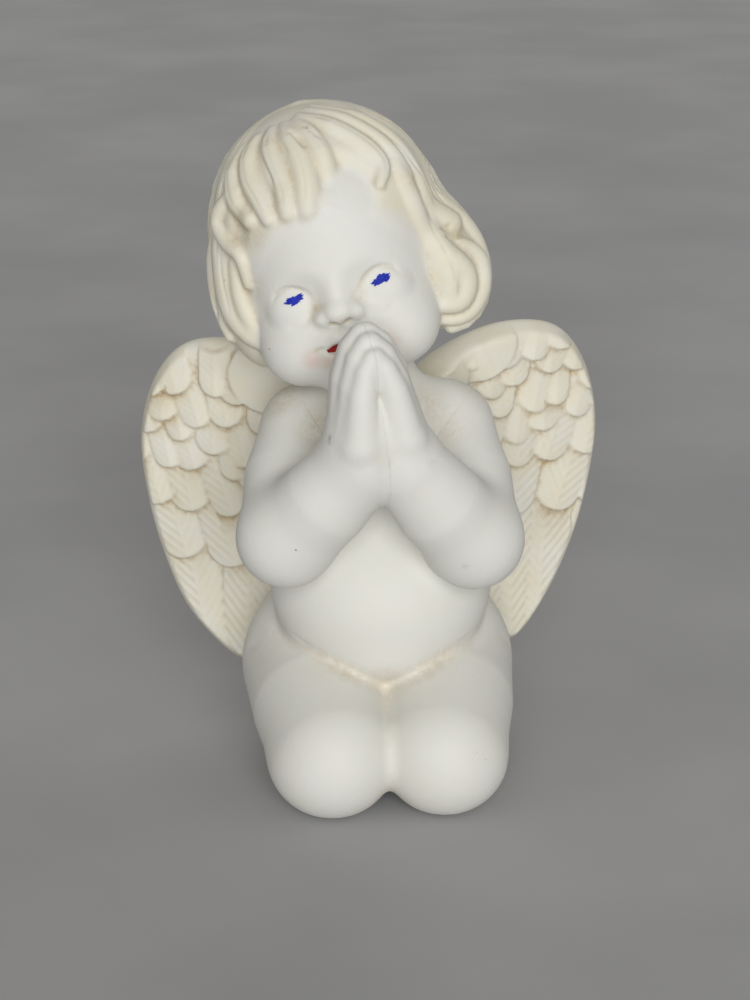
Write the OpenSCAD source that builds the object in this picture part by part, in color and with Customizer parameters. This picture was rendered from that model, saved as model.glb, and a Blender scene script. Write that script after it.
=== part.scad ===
// Kneeling angel figurine: a child angel sitting back on its heels, palms together under the chin.
// Millimetres. The figure faces -Y, +Z is up, and the origin is on the ground under the middle of it.
// "Left" and "right" are the figure's own.

/* [Legs] */
// From the front of the knees to the toes
figure_depth = 84; // [74:1:98]
// Distance between the centres of the knees
knee_spacing = 25; // [22:0.5:29]
// Radius of a knee
knee_r = 14.5; // [12.5:0.5:16]
// Radius of a thigh where it leaves the hip
thigh_r = 17; // [15:0.5:19]
// Radius of a calf
calf_r = 8.5; // [7:0.5:10]
// Radius of a foot
foot_r = 5.5; // [4.5:0.5:7]

/* [Torso] */
// Width across the hips
hip_w = 65; // [56:1:73]
// Width across the belly
belly_w = 50; // [42:1:58]
// Front-to-back size of the belly
belly_depth = 43; // [36:1:48]
// Width of the chest between the arms
chest_w = 33; // [28:1:38]
// Front-to-back size of the chest
chest_depth = 31; // [27:1:37]
// Height of the shoulders' joint above the ground
shoulder_z = 83; // [77:1:90]
// Radius of the neck
neck_r = 9.5; // [8:0.5:11]
// How far the neck stands above the shoulders' joint
neck_rise = 15; // [12:1:18]

/* [Head] */
// Width of the head over the hair
head_w = 65; // [57:1:73]
// Front-to-back size of the head over the hair
head_depth = 55; // [48:1:62]
// Height of the head from the neck's top to the crown
head_h = 61; // [54:1:67]
// How far the head leans to the figure's right
head_roll = 14; // [0:1:18]
// How far the head sits to the figure's right of the neck
head_shift = 4; // [0:0.5:5]
// How far the face is turned to the figure's right
head_yaw = 4.5; // [0:0.5:12]
// How far the face is lifted
head_pitch = 6; // [0:1:10]

/* [Arms] */
// Radius of an upper arm at the shoulder
shoulder_r = 9.5; // [8:0.5:11]
// Radius of an elbow
elbow_r = 10.5; // [9:0.5:12]
// Distance between the centres of the elbows
elbow_spacing = 43; // [40:1:50]
// Height of the elbows' centres above the ground
elbow_z = 64; // [60:1:68]
// Radius of a wrist
wrist_r = 7.5; // [6.5:0.5:8.5]
// Height of the fingertips above the ground
fingertip_z = 119; // [114:1:122]
// How far the hands lean to the figure's right
hand_lean = 7; // [0:1:10]

/* [Wings] */
// From tip to tip across both wings
wing_span = 111; // [98:1:124]
// Height of a wing
wing_h = 82; // [72:1:88]
// Thickness of the long feathers
feather_t = 3.2; // [2.4:0.2:4.4]
// What each upper row of feathers adds to a wing's thickness
row_step = 1.2; // [0.6:0.2:1.8]
// How far the wings sweep back
wing_sweep = 19; // [10:1:22]

/* [Joints] */
// Gap left for glue on each side of a joint
glue_gap = 0.05; // [0.05:0.01:0.15]
// Radius of the tenon on each arm
tenon_r = 5; // [4:0.5:6]
// Length of the tenon on each arm
tenon_len = 6; // [4:0.5:8]
// Radius of the boss on each wing
boss_r = 6; // [5:0.5:7]
// How deep the boss sits in the back
boss_depth = 3; // [2:0.5:4]
// Radius of a wing pin
wing_pin_r = 1.2; // [0.8:0.1:1.6]
// Length of a wing pin
wing_pin_len = 10; // [8:1:12]
// Radius of the neck dowel
dowel_r = 2.5; // [2:0.25:3.5]
// Length of the neck dowel
dowel_len = 30; // [22:1:36]

/* [Hollow] */
// Thickness of the casting around the hollow in the torso
wall = 7; // [5:0.5:9]
// Radius of the pouring hole in the underside
pour_r = 7; // [5:0.5:9]
// Thickness of the plug's flange
flange_t = 2; // [1.5:0.25:3]
// How far the flange is wider than the pouring hole
flange_rim = 2; // [1:0.5:3]
// Width of the flat ring of casting around the flange
pad_rim = 4.5; // [3:0.5:6]
// Length of the plug's stem
stem_len = 5; // [4:0.5:7]
// How far the plug sits above the ground
plug_recess = 0.6; // [0.3:0.1:1]

/* [Paint] */
// Radius of a painted iris
iris_r = 1.9; // [1.4:0.1:2.4]
// Width of the painted mouth
mouth_w = 7; // [5:0.5:9]
// Thickness of a paint layer
paint_t = 0.4; // [0.3:0.1:0.6]

/* [Hidden] */
$fn = 48;
resin_colour = "ivory";
far = 400;                        // longer than the figure in any direction

// Legs
front_y = -figure_depth / 2;
back_y = figure_depth / 2;
knee_x = knee_spacing / 2;
knee_flat = 0.6;                  // how much of a knee the ground flattens
foot_flat = 0.4;                  // how much of a calf and of the toes it flattens
knee = [knee_x, front_y + knee_r, knee_r - knee_flat];
hip = [hip_w / 2 - thigh_r, 9, 24];
ankle = [knee_x - 1, back_y - 3.2 * foot_r, foot_r + 1.2];
toe = [knee_x - 2.5, back_y - foot_r, foot_r - foot_flat];

// Torso
torso_y = 3;
chest_r = [chest_w / 2, chest_depth / 2, 22];
chest_c = [0, torso_y, shoulder_z - 8];
girdle_r = [chest_w / 2, 12.5, 11];
girdle_c = [0, torso_y + 0.5, shoulder_z];
blade_r = [10, 8.5, 15];
blade_c = [chest_w / 2 - blade_r.x, torso_y + 6.5, shoulder_z - 10];
belly_r = [belly_w / 2, belly_depth / 2, 22];
belly_c = [0, torso_y - 4, 46];
seat_r = [hip_w / 2 - 2, 22, 20];
seat_c = [0, 8, 29];
neck_top = shoulder_z + neck_rise;

// Head, in its own upright frame with the neck's top at the origin
head_clear = 2;                   // between the head and the shoulders
crown_r = [head_w * 0.405, head_depth * 0.48, head_h * 0.44];
face_front = -head_depth * 0.45;
skull_c = [0, 0, head_h * 0.46];
iris_x = 10.2;
iris_z = 19;
mouth_z = 5;
mouth_h = 3;

// Arms
arm_clear = 0.4;                  // between an arm and the chest, face to face
arm_x = chest_w / 2 + arm_clear;
shoulder_cut = 4.5;               // what an arm's flat face cuts off its ball
shoulder = [arm_x + shoulder_r - shoulder_cut, torso_y - 1, shoulder_z];
elbow = [elbow_spacing / 2, -24, elbow_z];
wrist = [wrist_r - 1.8, front_y + wrist_r + 1.5, elbow_z + 20];
finger_r = 3.4;
fingertip = [2.2, wrist.y + 0.5, fingertip_z - finger_r];
palm_foot = [0, wrist.y, elbow_z + 10];
tenon_root_x = chest_w / 2 - tenon_len;

// Wings
seat_x = 9;                       // centre of each wing's seat
seat_z = shoulder_z - 6;
chest_back = torso_y + chest_depth / 2;
seat_y = chest_back - 0.17 * chest_depth - boss_depth + 2;
wing_gap = 3.4;                   // from the chest's back to the middle of a wing
wing_root = [seat_x, chest_back + wing_gap, seat_z];
wing_reach = (wing_span / 2 - wing_root.x) / cos(wing_sweep);
pin_offset = boss_r * 0.5;
pin_mid_y = (seat_y + wing_root.y) / 2 - 1;

// Hollow
hollow_r = [min(belly_r.x, belly_r.y) - wall, 24];
hollow_z = 46;
flange_z = plug_recess + flange_t + glue_gap;

// ---- Free-form skins ----

// Where a ray from o along d leaves the ellipsoid with centre c and radii r, or 0 if it misses
function ray_exit(o, d, c, r) =
    let (p = [for (k = [0:2]) (o[k] - c[k]) / r[k]],
         q = [for (k = [0:2]) d[k] / r[k]],
         root = (p * q) * (p * q) - (q * q) * (p * p - 1))
    root < 0 ? 0 : max(0, (sqrt(root) - p * q) / (q * q));

// The same lumps on the figure's other side
function mirrored(lumps) = [for (l = lumps) [[-l[0].x, l[0].y, l[0].z], l[1]]];

// One closed skin over lumps, seen from the point o: rows bands from pole to pole, cols round the vertical
module skin(o, lumps, rows, cols) {
    function ray(i, j) = let (a = 180 * i / rows, b = 360 * j / cols) [sin(a) * cos(b), sin(a) * sin(b), cos(a)];
    function point(i, j) = let (d = ray(i, j)) o + d * max([for (l = lumps) ray_exit(o, d, l[0], l[1])]);
    function id(i, j) = 1 + (i - 1) * cols + j % cols;
    last = 1 + (rows - 1) * cols;
    polyhedron(
        points = [point(0, 0), for (i = [1:rows - 1], j = [0:cols - 1]) point(i, j), point(rows, 0)],
        faces = [
            for (j = [0:cols - 1]) [0, id(1, j + 1), id(1, j)],
            for (i = [1:rows - 2], j = [0:cols - 1]) each [
                [id(i, j), id(i, j + 1), id(i + 1, j + 1)],
                [id(i, j), id(i + 1, j + 1), id(i + 1, j)]],
            for (j = [0:cols - 1]) [last, id(rows - 1, j), id(rows - 1, j + 1)]],
        convexity = 6);
}

// ---- Turned shapes ----

// Turns +Z to point from a to b and starts at a
module aim(a, b) {
    d = b - a;
    translate(a) rotate([0, acos(d.z / norm(d)), atan2(d.y, d.x)]) children();
}

// A limb with round ends: a ball of radius ra at a, a ball of radius rb at b, and the cone that touches both
module limb(a, ra, b, rb) {
    length = norm(b - a);
    touch = asin((ra - rb) / length);
    steps = 6;
    aim(a, b) rotate_extrude() polygon([
        [0, -ra],
        for (i = [1:steps]) let (t = -90 + (90 + touch) * i / steps) [ra * cos(t), ra * sin(t)],
        for (i = [0:steps - 1]) let (t = touch + (90 - touch) * i / steps) [rb * cos(t), length + rb * sin(t)],
        [0, length + rb]]);
}

// An egg about +Z, with half-height tall and radius round
module egg(round, tall) {
    steps = 14;
    rotate_extrude() polygon([for (i = [0:steps]) let (t = -90 + 180 * i / steps)
        [max(0, round * cos(t)) * (abs(t) == 90 ? 0 : 1), tall * sin(t)]]);
}

// A cylinder from y0 to y1 at x and z
module rod_y(x, z, r, y0, y1) translate([x, y0, z]) rotate([-90, 0, 0]) cylinder(r = r, h = y1 - y0);

// A cylinder from x0 to x1 at y and z
module rod_x(y, z, r, x0, x1) translate([x0, y, z]) rotate([0, 90, 0]) cylinder(r = r, h = x1 - x0);

// Its child on the figure's left when side is 1, and mirrored to its right when side is -1
module on_side(side) mirror([side < 0 ? 1 : 0, 0, 0]) children();

// ---- Body ----

blade = [[blade_c, blade_r]];
torso_lumps = concat([[girdle_c, girdle_r], [chest_c, chest_r], [belly_c, belly_r], [seat_c, seat_r]],
                     blade, mirrored(blade));

module body() color(resin_colour) difference() {
    union() {
        skin([0, torso_y, 52], torso_lumps, 30, 44);
        for (side = [-1, 1]) on_side(side) {
            limb(hip, thigh_r, knee, knee_r);
            limb([knee.x, knee.y + 6, calf_r - foot_flat], calf_r, ankle, foot_r + 1);
            limb(ankle, foot_r + 0.6, toe, foot_r);
        }
        translate([0, torso_y, shoulder_z]) cylinder(r = neck_r, h = neck_top - shoulder_z);
        translate([0, torso_y, 0]) cylinder(r = pour_r + flange_rim + pad_rim, h = seat_c.z / 2);
    }
    translate([-far / 2, -far / 2, -far]) cube(far);
    translate([0, torso_y, hollow_z]) egg(hollow_r.x, hollow_r.y);
    translate([0, torso_y, -1]) cylinder(r = pour_r, h = hollow_z);
    translate([0, torso_y, -1]) cylinder(r = pour_r + flange_rim + glue_gap, h = 1 + flange_z);
    translate([0, torso_y, neck_top - dowel_len / 2 - glue_gap]) cylinder(r = dowel_r + glue_gap, h = dowel_len);
    for (side = [-1, 1]) on_side(side) {
        rod_x(shoulder.y, shoulder_z, tenon_r + glue_gap, tenon_root_x - glue_gap, far / 2);
        rod_y(seat_x, seat_z, boss_r + glue_gap, seat_y - glue_gap, far / 2);
        for (up = [-1, 1]) rod_y(seat_x, seat_z + up * pin_offset, wing_pin_r + glue_gap,
                                 pin_mid_y - wing_pin_len / 2 - glue_gap, seat_y);
    }
}

// The plug that closes the pouring hole: a flange and a stem
module base_plug() color("dimgray") translate([0, torso_y, plug_recess]) {
    cylinder(r = pour_r + flange_rim, h = flange_t);
    cylinder(r = pour_r - glue_gap, h = flange_t + stem_len);
}

module neck_dowel() color("silver")
    translate([0, torso_y, neck_top - dowel_len / 2]) cylinder(r = dowel_r, h = dowel_len);

// ---- Head ----

// Its children, made in the head's upright frame, put on the neck with the head's lean, turn and lift
module on_neck() translate([-head_shift, torso_y, neck_top]) rotate([-head_pitch, -head_roll, -head_yaw]) children();

left_head_lumps = [
    [[head_w / 2 - 12, 3, head_h * 0.32], [12, 15, head_h * 0.29]],      // hair over the ear
    [[9, face_front + 15, head_h * 0.14], [11.5, 13.4, 10]]];               // cheek
head_lumps = concat(
    [[[0, 1.5, head_h - crown_r.z], crown_r],
     [[0, head_depth / 2 - 20, head_h * 0.38], [head_w * 0.43, 20, head_h * 0.38]],
     [[0, face_front + 20.4, head_h * 0.26], [20.5, 20.4, head_h * 0.33]],
     [[0, face_front + 12.5, head_h * 0.02], [9, 9.5, 6]]],
    left_head_lumps, mirrored(left_head_lumps));

// The point on the skin of the head, seen from its middle, in line with [x, z] on the face
function on_face(x, z) =
    let (to = [x, face_front, z] - skull_c, d = to / norm(to))
    skull_c + d * max([for (l = head_lumps) ray_exit(skull_c, d, l[0], l[1])]);

// A round patch of paint on the face at [x, z], with its children's +Z pointing out of the face
module painted_at(x, z) {
    p = on_face(x, z);
    aim(p, p + (p - skull_c)) children();
}

module iris_shape(grow) translate([0, 0, -paint_t / 2 - grow]) cylinder(r = iris_r + grow, h = paint_t + 3 * grow);

module mouth_shape(grow) translate([0, 0, -paint_t / 2 - grow])
    linear_extrude(paint_t + 3 * grow) square([mouth_h + 2 * grow, mouth_w + 2 * grow], center = true);

module head() color(resin_colour) difference() {
    on_neck() difference() {
        skin(skull_c, head_lumps, 26, 44);
        for (side = [-1, 1]) painted_at(side * iris_x, iris_z) iris_shape(glue_gap);
        painted_at(0, mouth_z) mouth_shape(glue_gap);
    }
    translate([0, torso_y, shoulder_z]) cylinder(r = neck_r + glue_gap, h = neck_rise + glue_gap);
    translate(girdle_c) egg(girdle_r.x + head_clear, girdle_r.z + head_clear);
    translate([0, torso_y, neck_top - dowel_len / 2]) cylinder(r = dowel_r + glue_gap, h = dowel_len + glue_gap);
}

module left_iris() color("mediumblue") on_neck() painted_at(iris_x, iris_z) iris_shape(0);
module right_iris() color("mediumblue") on_neck() painted_at(-iris_x, iris_z) iris_shape(0);
module mouth() color("firebrick") on_neck() painted_at(0, mouth_z) mouth_shape(0);

// ---- Arms ----

// Its children leant about the foot of the palms to the figure's right, in the frame of the arm on this side
module leant(side) translate(palm_foot) rotate([0, -side * hand_lean, 0]) translate(-palm_foot) children();

// One arm, bent, with its palm on the leant middle plane: the left one when side is 1, the right one when it is -1
module arm(side) color(resin_colour) on_side(side) {
    difference() {
        union() {
            limb(shoulder, shoulder_r, elbow, elbow_r);
            limb(elbow, elbow_r - 0.3, wrist, wrist_r);
            leant(side) limb(wrist, wrist_r - 0.2, fingertip, finger_r);
        }
        leant(side) translate([glue_gap - far, -far / 2, -far / 2]) cube(far);
        translate([arm_x - far, torso_y - chest_depth / 2 - 1, -far / 2]) cube([far, far, far]);
    }
    rod_x(shoulder.y, shoulder_z, tenon_r, tenon_root_x, shoulder.x);
}

module left_arm() arm(1);
module right_arm() arm(-1);

// ---- Wings ----

// A smooth closed curve through points p, with n steps from each point to the next
function smooth_loop(p, n) = let (m = len(p)) [for (i = [0:m - 1], k = [0:n - 1])
    let (t = k / n, a = p[(i + m - 1) % m], b = p[i], c = p[(i + 1) % m], d = p[(i + 2) % m])
    ((2 * b) + (c - a) * t + (2 * a - 5 * b + 4 * c - d) * t * t + (3 * b - a - 3 * c + d) * t * t * t) / 2];

// A wing's outline, out from its root and in shares of its height above the tip. The tip hangs beside the hip.
wing_tip_u = (hip_w / 2 - wing_root.x) / cos(wing_sweep);
wing_points = concat(
    [for (p = [[-0.08, 0.78], [0.04, 0.89], [0.26, 0.96], [0.52, 1], [0.76, 0.98], [0.93, 0.87], [1, 0.70],
               [0.97, 0.52], [0.86, 0.32]]) [p.x * wing_reach, p.y]],
    [[wing_tip_u + 0.36 * (wing_reach - wing_tip_u), 0.12]],
    [for (p = [[1, 0], [0.72, 0.08], [0.40, 0.28], [0.08, 0.50]]) [p.x * wing_tip_u, p.y]]);
wing_top_z = shoulder_z + 14.5;
wing_outline = smooth_loop([for (p = wing_points) [p.x, wing_top_z - (1 - p.y) * wing_h - wing_root.z]], 4);

// A slab t thick with the wing's outline, on the wing's own plane
module wing_slab(t) rotate([90, 0, 0]) translate([0, 0, -t / 2]) linear_extrude(t) polygon(wing_outline);

// The slab thickened for a row of shorter feathers that reach r from the wing's shoulder
module feather_row(t, r) intersection() {
    wing_slab(t);
    rod_y(wing_reach * 0.5, wing_top_z - wing_root.z - 14, r, -far / 2, far / 2);
}

module wing() color(resin_colour) difference() {
    union() {
        translate(wing_root) rotate([0, 0, wing_sweep]) {
            wing_slab(feather_t);
            feather_row(feather_t + row_step * 2, wing_h * 0.56);
            feather_row(feather_t + row_step * 4, wing_h * 0.34);
        }
        rod_y(seat_x, seat_z, boss_r, seat_y, wing_root.y);
    }
    for (up = [-1, 1]) rod_y(seat_x, seat_z + up * pin_offset, wing_pin_r + glue_gap,
                             seat_y - 1, pin_mid_y + wing_pin_len / 2 + glue_gap);
}

module left_wing() wing();
module right_wing() on_side(-1) wing();

// One pin of a wing: the upper one when up is 1, the lower one when up is -1
module wing_pin(side, up) color("silver") on_side(side)
    rod_y(seat_x, seat_z + up * pin_offset, wing_pin_r, pin_mid_y - wing_pin_len / 2, pin_mid_y + wing_pin_len / 2);

body();
head();
left_arm();
right_arm();
left_wing();
right_wing();
neck_dowel();
wing_pin(1, 1);  // left_wing_upper_pin
wing_pin(1, -1);  // left_wing_lower_pin
wing_pin(-1, 1);  // right_wing_upper_pin
wing_pin(-1, -1);  // right_wing_lower_pin
base_plug();
left_iris();
right_iris();
mouth();
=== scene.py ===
"""Kneeling angel figurine in cast resin: each casting is pressed from lumps of clay, then carved and washed.

Sizes are millimetres in the figurine's own frame: it faces -Y, +Z is up and its own left is +X.
"""
from __future__ import annotations

import logging
import math
from dataclasses import dataclass, field, replace
from enum import Enum
from typing import Callable, Optional, Sequence

import bpy
import numpy as np
from mathutils import Matrix

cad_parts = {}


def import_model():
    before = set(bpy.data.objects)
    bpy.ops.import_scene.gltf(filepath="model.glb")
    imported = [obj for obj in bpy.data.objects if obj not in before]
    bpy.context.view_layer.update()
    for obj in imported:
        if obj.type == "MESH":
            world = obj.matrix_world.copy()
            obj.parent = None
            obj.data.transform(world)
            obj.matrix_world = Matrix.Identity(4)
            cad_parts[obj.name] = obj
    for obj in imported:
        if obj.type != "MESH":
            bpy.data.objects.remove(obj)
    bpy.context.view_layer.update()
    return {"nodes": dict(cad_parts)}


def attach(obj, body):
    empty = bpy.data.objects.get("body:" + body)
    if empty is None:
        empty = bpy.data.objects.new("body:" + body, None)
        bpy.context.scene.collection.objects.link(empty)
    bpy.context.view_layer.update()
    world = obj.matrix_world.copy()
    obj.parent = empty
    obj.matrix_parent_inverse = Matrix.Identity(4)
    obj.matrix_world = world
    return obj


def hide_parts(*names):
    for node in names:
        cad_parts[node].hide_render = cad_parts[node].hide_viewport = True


log = logging.getLogger("angel")
MM = 0.001
Point = tuple[float, float, float]
Field = Callable[[np.ndarray], np.ndarray]
FAR = 1e3  # A distance that stands for nowhere near.


# ---------------------------------------------------------------- clay ----

def smooth_min(a: np.ndarray, b: np.ndarray, blend: float) -> np.ndarray:
    """Joins two distance fields with a fillet.

    Args:
        a: Distances to the first shape.
        b: Distances to the second shape.
        blend: Reach of the fillet.

    Returns:
        Distances to the joined shape.
    """
    share = np.maximum(blend - np.abs(a - b), 0.0) / blend
    return np.minimum(a, b) - share * share * blend / 4


def turn_matrix(turn: Point) -> np.ndarray:
    """Gives the matrix that turns by these angles about X, then Y, then Z.

    Args:
        turn: The three angles, in degrees.

    Returns:
        A 3 by 3 matrix that acts on column vectors.
    """
    x, y, z = (math.radians(a) for a in turn)
    about_x = np.array([[1, 0, 0], [0, math.cos(x), -math.sin(x)], [0, math.sin(x), math.cos(x)]])
    about_y = np.array([[math.cos(y), 0, math.sin(y)], [0, 1, 0], [-math.sin(y), 0, math.cos(y)]])
    about_z = np.array([[math.cos(z), -math.sin(z), 0], [math.sin(z), math.cos(z), 0], [0, 0, 1]])
    return about_z @ about_y @ about_x


def smooth_path(points: Sequence[Sequence[float]], steps: int) -> np.ndarray:
    """Draws a smooth curve through points.

    Args:
        points: What the curve passes through, two or more.
        steps: Pieces from each point to the next.

    Returns:
        The points of the curve, one row each.
    """
    given = np.array(points, float)
    ends = np.vstack([2 * given[0] - given[1], given, 2 * given[-1] - given[-2]])
    rows = []
    for a, b, c, d in zip(ends, ends[1:], ends[2:], ends[3:]):
        bend, twist = 2 * a - 5 * b + 4 * c - d, 3 * b - a - 3 * c + d
        for t in np.arange(steps) / steps:
            rows.append((2 * b + (c - a) * t + bend * t**2 + twist * t**3) / 2)
    return np.array(rows + [given[-1]])


@dataclass(frozen=True)
class Ball:
    """An egg of clay.

    Attributes:
        centre: Its middle.
        radii: Its half sizes along its own axes.
        turn: Angles that turn its axes, in degrees.
        blend: Reach of the fillet with what it is pressed on.
    """
    centre: Point
    radii: Point
    turn: Point = (0, 0, 0)
    blend: float = 4.0

    def distance(self, points: np.ndarray) -> np.ndarray:
        """Gives the distance of each point to the egg's surface, less than 0 inside."""
        local = (points - np.array(self.centre)) @ turn_matrix(self.turn)
        radii = np.array(self.radii)
        near = np.linalg.norm(local / radii, axis=1)
        steep = np.linalg.norm(local / radii**2, axis=1)
        return near * (near - 1) / np.maximum(steep, 1e-9)

    def added(self) -> list[bpy.types.Object]:
        """Adds the egg as a sphere primitive at its size and place, and gives the new object."""
        bpy.ops.mesh.primitive_uv_sphere_add(
            segments=40, ring_count=24, radius=MM, location=[c * MM for c in self.centre],
            rotation=[math.radians(a) for a in self.turn], scale=self.radii)
        return [bpy.context.object]

    def mirrored(self) -> Ball:
        """Gives the same egg on the figure's other side."""
        x, y, z = self.centre
        return replace(self, centre=(-x, y, z), turn=(self.turn[0], -self.turn[1], -self.turn[2]))


@dataclass(frozen=True)
class Limb:
    """A roll of clay that tapers along a path, with round ends.

    Attributes:
        path: Points that its middle passes through.
        radii: Its radius at each point.
        blend: Reach of the fillet with what it is pressed on.
    """
    path: tuple[Point, ...]
    radii: tuple[float, ...]
    blend: float = 4.0

    def distance(self, points: np.ndarray) -> np.ndarray:
        """Gives the distance of each point to the roll's surface, less than 0 inside."""
        path = np.array(self.path)
        reach = max(self.radii) + self.blend + 2
        result = np.full(len(points), FAR)
        near = np.all((points > path.min(0) - reach) & (points < path.max(0) + reach), axis=1)
        if not near.any():
            return result
        close = points[near]
        best = np.full(len(close), FAR)
        for a, b, ra, rb in zip(path, path[1:], self.radii, self.radii[1:]):
            best = np.minimum(best, tapered_distance(close, a, b, ra, rb))
        result[near] = best
        return result

    def added(self) -> list[bpy.types.Object]:
        """Adds the roll as balls and cones, joined, and gives the new object."""
        pieces = []
        for centre, radius in zip(self.path, self.radii):
            bpy.ops.mesh.primitive_uv_sphere_add(segments=24, ring_count=16, radius=radius * MM,
                                                 location=[c * MM for c in centre])
            pieces.append(bpy.context.object)
        for a, b, ra, rb in zip(self.path, self.path[1:], self.radii, self.radii[1:]):
            along = np.array(b) - np.array(a)
            length = float(np.linalg.norm(along))
            tilt = (0, math.acos(along[2] / length), math.atan2(along[1], along[0]))
            bpy.ops.mesh.primitive_cone_add(vertices=24, radius1=ra * MM, radius2=rb * MM, depth=length * MM,
                                            location=[(p + q) / 2 * MM for p, q in zip(a, b)], rotation=tilt)
            pieces.append(bpy.context.object)
        return [join(pieces)]

    def mirrored(self) -> Limb:
        """Gives the same roll on the figure's other side."""
        return replace(self, path=tuple((-x, y, z) for x, y, z in self.path))


def tapered_distance(points: np.ndarray, a: np.ndarray, b: np.ndarray, ra: float,
                     rb: float) -> np.ndarray:
    """Gives the distance of points to a ball-ended cone.

    Args:
        points: The points, one row each.
        a: The first ball's centre.
        b: The second ball's centre.
        ra: The first ball's radius.
        rb: The second ball's radius.

    Returns:
        One distance for each point, less than 0 inside.
    """
    along = b - a
    length2 = float(along @ along)
    slope = ra - rb
    side2 = max(length2 - slope * slope, 1e-9)
    off = points - a
    y = off @ along
    z = y - length2
    x2 = ((off * length2 - np.outer(y, along)) ** 2).sum(1)
    y2, z2 = y * y * length2, z * z * length2
    k = math.copysign(slope * slope, slope) * x2
    past_b = np.sign(z) * side2 * z2 > k
    before_a = ~past_b & (np.sign(y) * side2 * y2 < k)
    side = (np.sqrt(x2 * side2 / length2) + y * slope) / length2 - ra
    side[past_b] = np.sqrt(x2[past_b] + z2[past_b]) / length2 - rb
    side[before_a] = np.sqrt(x2[before_a] + y2[before_a]) / length2 - ra
    return side


def select(*pieces: bpy.types.Object) -> None:
    """Selects these objects and nothing else, and makes the first active."""
    bpy.ops.object.select_all(action="DESELECT")
    for piece in pieces:
        piece.select_set(True)
    bpy.context.view_layer.objects.active = pieces[0]


def join(pieces: Sequence[bpy.types.Object]) -> bpy.types.Object:
    """Joins objects into the first and applies its place.

    Args:
        pieces: The objects, one or more.

    Returns:
        The joined object, active and selected.
    """
    select(*pieces)
    if len(pieces) > 1:
        bpy.ops.object.join()
    bpy.ops.object.transform_apply(location=True, rotation=True, scale=True)
    return bpy.context.object


def apply_modifier(piece: bpy.types.Object, modifier: bpy.types.Modifier) -> None:
    """Applies a modifier to its piece."""
    bpy.context.view_layer.objects.active = piece
    bpy.ops.object.modifier_apply(modifier=modifier.name)


def remesh(piece: bpy.types.Object, voxel: float) -> None:
    """Covers a closed piece with fresh, even squares of this size."""
    modifier = piece.modifiers.new("Remesh", "REMESH")
    modifier.mode = "VOXEL"
    modifier.voxel_size = voxel * MM
    apply_modifier(piece, modifier)


def thicken(piece: bpy.types.Object, thickness: float) -> None:
    """Makes a flat piece this thick, half of it to each side."""
    modifier = piece.modifiers.new("Thickness", "SOLIDIFY")
    modifier.thickness = thickness * MM
    modifier.offset = 0
    apply_modifier(piece, modifier)


@dataclass(frozen=True)
class Wall:
    """A flat board: everything behind it is clay.

    Attributes:
        point: A point of its face.
        normal: Direction out of its face, of length 1.
        blend: Reach of the rounding where it is pressed in.
    """
    point: Point
    normal: Point
    blend: float = 1.0

    def distance(self, points: np.ndarray) -> np.ndarray:
        """Gives the distance of each point to the board's face, less than 0 behind it."""
        return (points - np.array(self.point)) @ np.array(self.normal)

    def mirrored(self) -> Wall:
        """Gives the same board on the figure's other side."""
        point = (-self.point[0], *self.point[1:])
        return replace(self, point=point, normal=(-self.normal[0], *self.normal[1:]))


@dataclass
class Clay:
    """Lumps that are pressed together, or pressed in, one after another.

    Attributes:
        blend: Reach of the fillet where this clay is pressed on other clay.
        steps: Each lump, with True where it is added and False where it leaves a hollow.
    """
    blend: float = 2.0
    steps: list[tuple[Lump, bool]] = field(default_factory=list)

    def press(self, *lumps: Lump) -> None:
        """Adds lumps."""
        self.steps += [(lump, True) for lump in lumps]

    def press_both(self, *lumps: Lump) -> None:
        """Adds lumps and their mirrored copies."""
        for lump in lumps:
            self.press(lump, lump.mirrored())

    def dent(self, *lumps: Lump) -> None:
        """Presses lumps in and takes them out again."""
        self.steps += [(lump, False) for lump in lumps]

    def dent_both(self, *lumps: Lump) -> None:
        """Presses lumps and their mirrored copies in and takes them out again."""
        for lump in lumps:
            self.dent(lump, lump.mirrored())

    def mirrored(self) -> Clay:
        """Gives the same clay on the figure's other side."""
        return replace(self, steps=[(lump.mirrored(), added) for lump, added in self.steps])

    def distance(self, points: np.ndarray) -> np.ndarray:
        """Gives the distance of each point to the clay's surface, less than 0 inside."""
        result = np.full(len(points), FAR)
        for lump, added in self.steps:
            if added:
                result = smooth_min(result, lump.distance(points), lump.blend)
            else:
                result = -smooth_min(-result, lump.distance(points), lump.blend)
        return result

    def added(self) -> list[bpy.types.Object]:
        """Adds every lump that is clay as primitives, and gives the new objects."""
        return [piece for lump, added in self.steps if added for piece in lump.added()]

    def cast(self, name: str, voxel: float, surface: Optional[Field] = None) -> Skin:
        """Models the clay's own surface: primitives are joined and remeshed, and settle on it in two passes.

        Args:
            name: Name of the new object.
            voxel: Size of the squares.
            surface: The field to settle on, if not the clay's own.

        Returns:
            The skin.
        """
        surface = surface or self.distance
        bpy.ops.object.select_all(action="DESELECT")
        piece = join(self.added())
        piece.name = piece.data.name = name
        remesh(piece, voxel * 1.7)
        skin = Skin(piece)
        skin.settle(surface, 8, 0.6, steep=True)
        skin = skin.remeshed(voxel)
        skin.settle(surface, 4, 0.3, steep=False)
        return skin


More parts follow.
